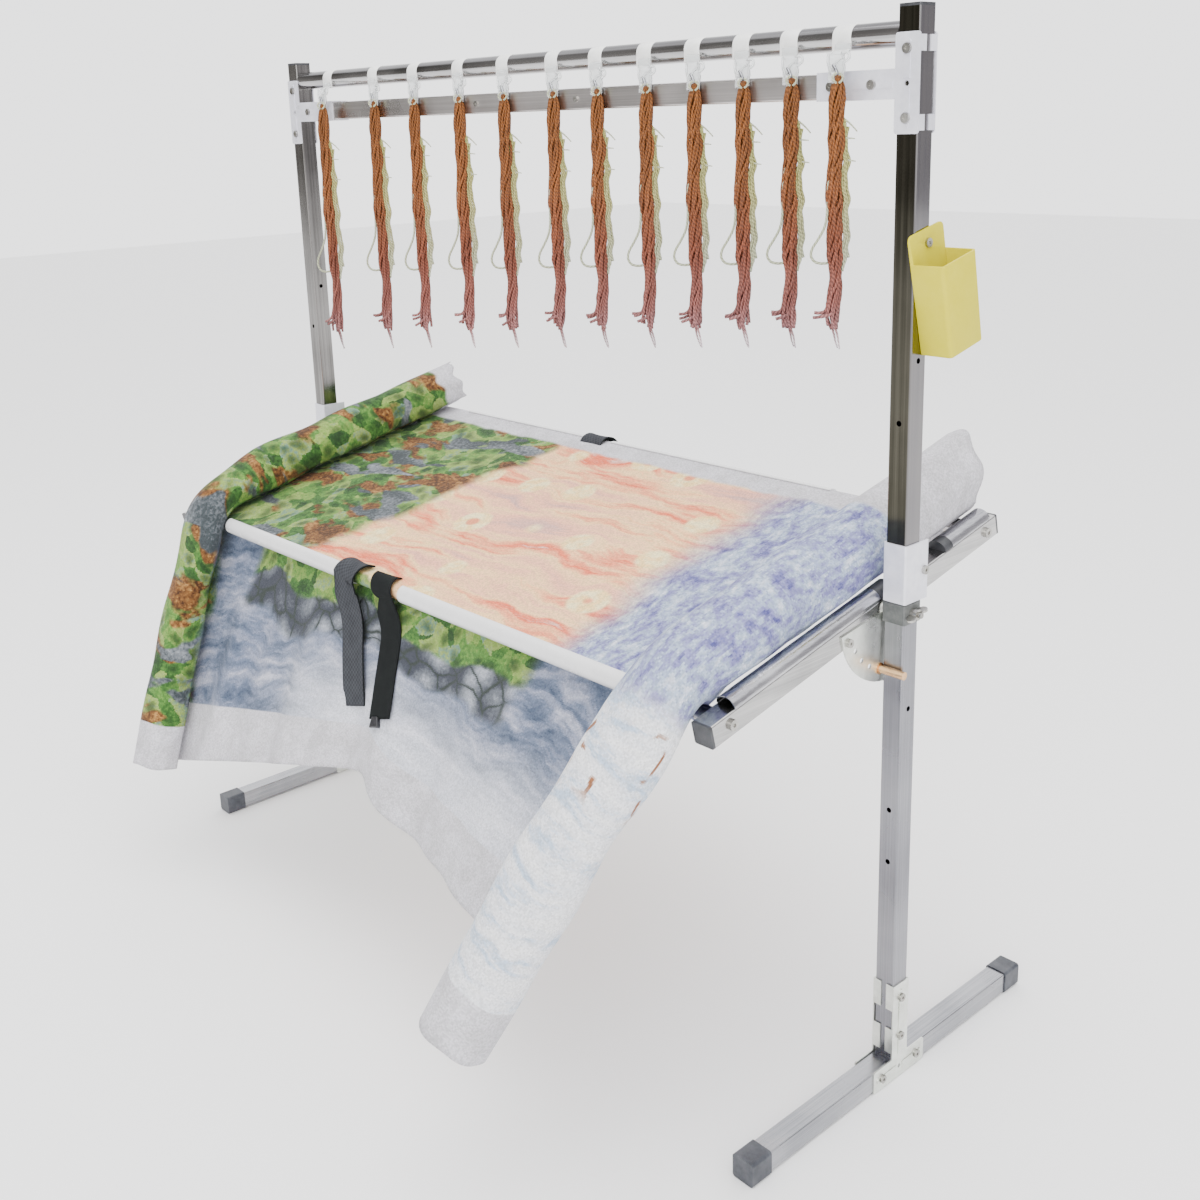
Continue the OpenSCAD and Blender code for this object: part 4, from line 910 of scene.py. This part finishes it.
def add_tube(mesh, yarn, ply, points, radii, sides, strand, heights):
    """Sweeps a closed tube through points. Its radii and heights are lists, or one value for all."""
    radii, heights = (part if isinstance(part, list) else [part] * len(points) for part in (radii, heights))
    side = Vector((1, 0.3, 0)).normalized()
    run = run_along(points)
    rings = []
    for i, place in enumerate(points):
        way = (points[min(i + 1, len(points) - 1)] - points[max(0, i - 1)]).normalized()
        side = (side - way * side.dot(way)).normalized()
        other = way.cross(side)
        rims = [side * math.cos(2 * math.pi * k / sides) + other * math.sin(2 * math.pi * k / sides)
                for k in range(sides)]
        rings.append([mesh.verts.new(place + rim * radii[i]) for rim in rims])
    for i in range(len(rings) - 1):
        a, b = rings[i], rings[i + 1]
        for k in range(sides):
            n = (k + 1) % sides
            face = mesh.faces.new((a[k], a[n], b[n], b[k]))
            face.smooth = True
            for loop, (ring, turn_k) in zip(face.loops, ((i, k), (i, k + 1), (i + 1, k + 1), (i + 1, k))):
                loop[yarn].uv = (heights[ring], strand)
                loop[ply].uv = (run[ring], turn_k / sides)
    for end, corners in ((0, rings[0][::-1]), (-1, rings[-1])):
        for loop in mesh.faces.new(corners).loops:
            loop[yarn].uv = (heights[end], strand)
            loop[ply].uv = (run[end], 0)


def tube_piece(name, tubes, *place):
    """A piece of tubes. Its maps: 'yarn' tells height and strand, 'ply' the way along and around."""
    mesh = bmesh.new()
    maps = mesh.loops.layers.uv.new("yarn"), mesh.loops.layers.uv.new("ply")
    for tube in tubes:
        add_tube(mesh, *maps, *tube)
    piece = as_object(name, mesh)
    attach(piece, *place)
    return piece


# Skeins of stranded embroidery thread: a bundle of brown strands that turns to dusty pink towards
# its cut ends, with one pale green strand down its side and a slack pale loop.
def floss(name, stops, shade):
    """Cotton: its colours run along the strand, each strand has its own tint, and its plies twist; shade is
    how deep the painted shade in the grooves between the plies goes.
    """
    paint, tree = new_paint(name, Roughness=0.6, Specular_IOR_Level=0.3)
    yarn, ply = (parts_of(tree, map_of(tree, uv_map)) for uv_map in ("yarn", "ply"))
    own = put(tree, "TexWhiteNoise", {"W": yarn["Y"]}, noise_dimensions="1D").outputs["Value"]
    around = figure(tree, "MULTIPLY", ply["Y"], 4 * math.pi)
    wave = figure(tree, "SINE", figure(tree, "MULTIPLY_ADD", ply["X"], 1400.0, around))
    # painted shade and highlight: darker in the grooves between plies, a little paler on their crests
    painted_ply_shade = spread(tree, wave, -1.0, 1.0, 1 - shade, 1.06)
    both = figure(tree, "MULTIPLY", painted_ply_shade, spread(tree, own, 0.0, 1.0, 0.72, 1.28))
    set_shader(tree, Base_Color=mixed(tree, 1.0, tones(tree, yarn["X"], *stops), both, "MULTIPLY"),
               Normal=relief(tree, wave, 0.8, 0.0003))
    return paint


brown_floss = floss("floss_brown", [
    (0.0, (0.215, 0.072, 0.014)), (0.35, (0.225, 0.072, 0.018)), (0.6, (0.21, 0.058, 0.028)),
    (0.82, (0.25, 0.085, 0.07)), (0.92, (0.31, 0.14, 0.14)), (1.0, (0.74, 0.66, 0.70))], 0.55)
pale_floss = floss("floss_pale_green", [
    (0.0, (0.42, 0.42, 0.15)), (0.5, (0.43, 0.41, 0.17)), (1.0, (0.45, 0.47, 0.33))], 0.4)


def hang_cord(path):
    round(run_along(path)[-1], 4)


beside = Vector((0.665, 0.747, 0))
facing = Vector((0.747, -0.665, 0))
down_steps = 76
fullness = [(0, 0.20), (0.03, 0.85), (0.07, 1.12), (0.30, 1.0), (0.55, 1.06), (0.70, 0.88), (0.86, 0.94),
            (1, 1.0)]
hooked_strands, swept_strands = (7, 8), (6, 9, 11, 15)
for number in range(1, 13):
    label = "%02d" % number
    body, clip, skein = "thread_hanger_" + label, "thread_clip_" + label, "skein_" + label
    clip_low, clip_high = (Vector(corner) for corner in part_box(clip))
    skein_low, skein_high = (Vector(corner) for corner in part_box(skein))
    x = (clip_low.x + clip_high.x) / 2
    chance = random.Random(40 + number)
    on_clip, on_skein = (body, "white_plastic", clip), (body, "thread", skein)

    # white band over the rod
    inner, wall = rod_radius + 0.0006, 0.0024
    bent = [(rod.y + inner * math.cos(math.radians(a)), rod.z + inner * math.sin(math.radians(a)))
            for a in range(-50, 181, 10)]
    skirt = rod.z - rod_radius - 0.001
    bent += [(rod.y - inner, rod.z + (skirt - rod.z) * i / 4) for i in range(1, 5)]
    clip_band = band("clip_band_" + label, bent[::-1], x - 0.0116, x + 0.0116, wall, 0.0008)
    attach(clip_band, clip_white, *on_clip)

    # clear hook: a plate under the skirt with raised edges and an ear, ending in an upturned hook,
    # and the steel pin pressed through it
    # the two outer ones hang further out, because they slide past the heads of the clamp bolts
    hang_y = (skein_low.y + skein_high.y) / 2 + (-0.003 if number in (1, 12) else 0.008)
    eye_z = skein_high.z - 0.004
    band_y = rod.y - inner - wall
    plate_y = hang_y + 0.0062
    x += 0.004
    plate_line = [(band_y + 0.0010, skirt + 0.008), (band_y + 0.0006, skirt + 0.001),
                  (plate_y + 0.0006, skirt - 0.003), (plate_y, skirt - 0.009), (plate_y, eye_z + 0.004),
                  (plate_y - 0.0008, eye_z - 0.003)]
    hook_plate = band("clip_hook_plate_" + label, plate_line, x - 0.0098, x + 0.0098, 0.0016, 0.0005)
    attach(hook_plate, clear, *on_clip)
    face_y = plate_y - 0.0018

    def on_plate(steps, *corners):
        """A smooth line on the plate; each corner is its way right, its way back and its height."""
        return smooth_path([Vector((x + right, face_y + back, z)) for right, back, z in corners], steps)

    reach = plate_y - (hang_y - 0.0045)
    curl = [(plate_y - 0.0004, eye_z + 0.006), (plate_y - 0.0012, eye_z - 0.001)]
    curl += [(plate_y - 0.0012 - (reach - 0.0012) * (1 - math.cos(math.pi * i / 8)) / 2,
              eye_z - 0.001 - 0.0036 * math.sin(math.pi * i / 8)) for i in range(1, 9)]
    curl += [(hang_y - 0.0052, eye_z + 0.003), (hang_y - 0.0045, eye_z + 0.006)]
    left_edge = on_plate(5, (-0.0096, 0.001, skirt - 0.001), (-0.0092, 0, skirt - 0.010),
                         (-0.0060, 0, eye_z + 0.008), (-0.001, 0, eye_z + 0.002))
    right_edge = on_plate(5, (0.0070, 0.001, skirt - 0.001), (0.0150, 0, skirt - 0.0015),
                          (0.0162, 0, skirt - 0.0065), (0.0098, 0, skirt - 0.011),
                          (0.0105, 0, eye_z + 0.010), (0.0080, 0, eye_z + 0.002))
    brace = on_plate(6, (-0.0060, 0, eye_z + 0.005), (0.0015, -0.0012, eye_z + 0.016),
                     (0.0082, 0, skirt - 0.006))
    edges = [([Vector((x + 0.004, y, z)) for y, z in curl], 0.0016), (left_edge, 0.0016),
             (right_edge, 0.0016), (brace, 0.0014)]
    tube_piece("clip_hook_" + label, [(line, thick, 9, 0.5, 0.5) for line, thick in edges], clear, *on_clip)
    pin = on_plate(5, (-0.0028, -0.0004, eye_z + 0.0135), (0.0010, -0.0022, eye_z + 0.0105),
                   (0.0034, -0.0024, eye_z + 0.0060), (0.0036, -0.0012, eye_z + 0.0020))
    tube_piece("clip_pin_" + label, [(pin, 0.0017, 10, 0.5, 0.5)], pin_steel, *on_clip)

    # brown strands
    height = skein_high.z - skein_low.z
    top = Vector((x + 0.005, hang_y, eye_z))

    def in_skein(right, front, down, up=0.0):
        """A point of the skein; down is its share of the skein's height."""
        return top + beside * right + facing * front + Vector((0, 0, up - height * down))

    tubes = []
    lane = [(0.0, 0.0)] + [(0.0030, 72 * k) for k in range(5)] + [(0.0062, 28 * k + 10) for k in range(13)]
    for strand, (away, start) in enumerate(lane):
        own = chance.random()
        stop = 0.89 + 0.035 * chance.random()
        if strand in hooked_strands:
            stop = 0.995
        points = []
        heights = [stop * i / down_steps for i in range(down_steps + 1)]
        for t in heights:
            swell = 1.0 + 0.10 * math.sin(t * 31 + 0.8) + 0.06 * math.sin(t * 57 + 2)
            full = between(t, fullness) * swell
            turned = math.radians(start) + t * 8.5 + 0.5 * math.sin(t * 17 + start)
            u = away * full * math.cos(turned)
            v = away * full * math.sin(turned) * 0.95
            u += 0.0010 * math.sin(t * 11 + 0.4) + 0.0008 * math.sin(t * 26 + 1.3)
            u += 0.0009 * noise.noise(Vector((t * 26, strand * 3.1, number * 0.7)))
            v += 0.0009 * noise.noise(Vector((t * 26, strand * 3.1, number * 0.7 + 9)))
            sink = 0.0
            if t > 0.83:
                loose = (t - 0.83) / (stop - 0.83)
                if strand in swept_strands:
                    u -= (0.012 + 0.003 * own + 0.002 * (strand % 3)) * loose ** 2.2
                    sink = 0.006 * loose ** 2 * (1 + strand % 2)
                elif strand in hooked_strands:
                    u += 0.0125 * loose ** 1.3 - 0.002 * loose
                else:
                    u += (own - 0.6) * 0.006 * loose ** 1.5
            rise = 0.003 * (1 - min(1, t / 0.03))
            points.append(top + beside * u + facing * v + Vector((0, 0, rise - height * t + sink)))
        thick = 0.0014 if strand in hooked_strands else 0.0018
        radii = [thick * (0.8 + 0.2 * min(1, t / 0.05)) * (1 if t < 0.9 else max(0.35, 1 - (t - 0.9) * 5))
                 for t in heights]
        tubes.append((points, radii, 7, own, heights))
    tube_piece("skein_strands_" + label, tubes, brown_floss, *on_skein)

    # pale strand down the right side, with a few cut ends standing off it
    pale_path = []
    pale_steps = 60
    for i in range(pale_steps + 1):
        part = i / pale_steps
        t = 0.10 + 0.60 * part
        out_by = between(part, [(0, 0.0045), (0.14, 0.0090), (0.5, 0.0100), (0.82, 0.0115), (0.93, 0.0115),
                                (1, 0.0070)])
        out_by += 0.0009 * math.sin(t * 46 + 0.5) + 0.0006 * math.sin(t * 90)
        pale_path.append(in_skein(out_by, 0.0010 * math.sin(t * 30), t))
    tubes = [(pale_path, 0.0016, 8, 0.4, [i / pale_steps for i in range(pale_steps + 1)])]
    pale = tube_piece("skein_pale_strand_" + label, tubes, pale_floss, *on_skein)
    hang_cord(pale_path)
    tubes = []
    for strand, (shift, back) in enumerate([(-0.0026, 0.0014), (-0.0010, -0.0022), (0.0026, -0.0010)]):
        points = [point + beside * (shift + 0.0006 * math.sin(i * 0.5 + strand))
                  + facing * (back + 0.0005 * math.cos(i * 0.4))
                  for i, point in enumerate(pale_path[3 + 2 * strand:58 - strand])]
        heights = [i / len(points) for i in range(len(points))]
        tubes.append((points, 0.0015, 7, 0.2 + strand * 0.27, heights))
    for begin, out_by, drop_by in ((4, 0.0150, 0.013), (11, 0.0115, 0.001), (19, 0.0100, 0.0015)):
        points = [pale_path[begin] + beside * (out_by * i * 0.1 - 0.001)
                  + Vector((0, 0, -drop_by * (i * 0.1) ** 1.4)) for i in range(11)]
        tubes.append((points, [0.0012 * (1 - 0.05 * i) for i in range(11)], 6, 0.9, 1.0))
    for side_way in (-1, 1):
        knot = [in_skein(side_way * (0.0012 + 0.0040 * math.sin(math.pi * i / 9)), 0.0055, 0,
                         0.006 - 0.010 * i / 9) for i in range(10)]
        tubes.append((knot, 0.0011, 7, 0.6, 1.0))
    tube_piece("skein_pale_ends_" + label, tubes, pale_floss, *on_skein)

    # slack loop on the left side
    shape = [(0.30, -0.0060), (0.40, -0.0076), (0.49, -0.0084), (0.535, -0.0108), (0.575, -0.0165),
             (0.610, -0.0225), (0.638, -0.0240), (0.660, -0.0205), (0.668, -0.0140), (0.668, -0.0070)]
    corners = [in_skein(u, 0.002 if i % 9 else 0.0005, t) for i, (t, u) in enumerate(shape)]
    loop_path = smooth_path(corners, 7)
    loop_tube = [(loop_path, 0.0014, 8, 0.7, 1.0)]
    slack = tube_piece("skein_loop_" + label, loop_tube, pale_floss, *on_skein)
    hang_cord(loop_path)
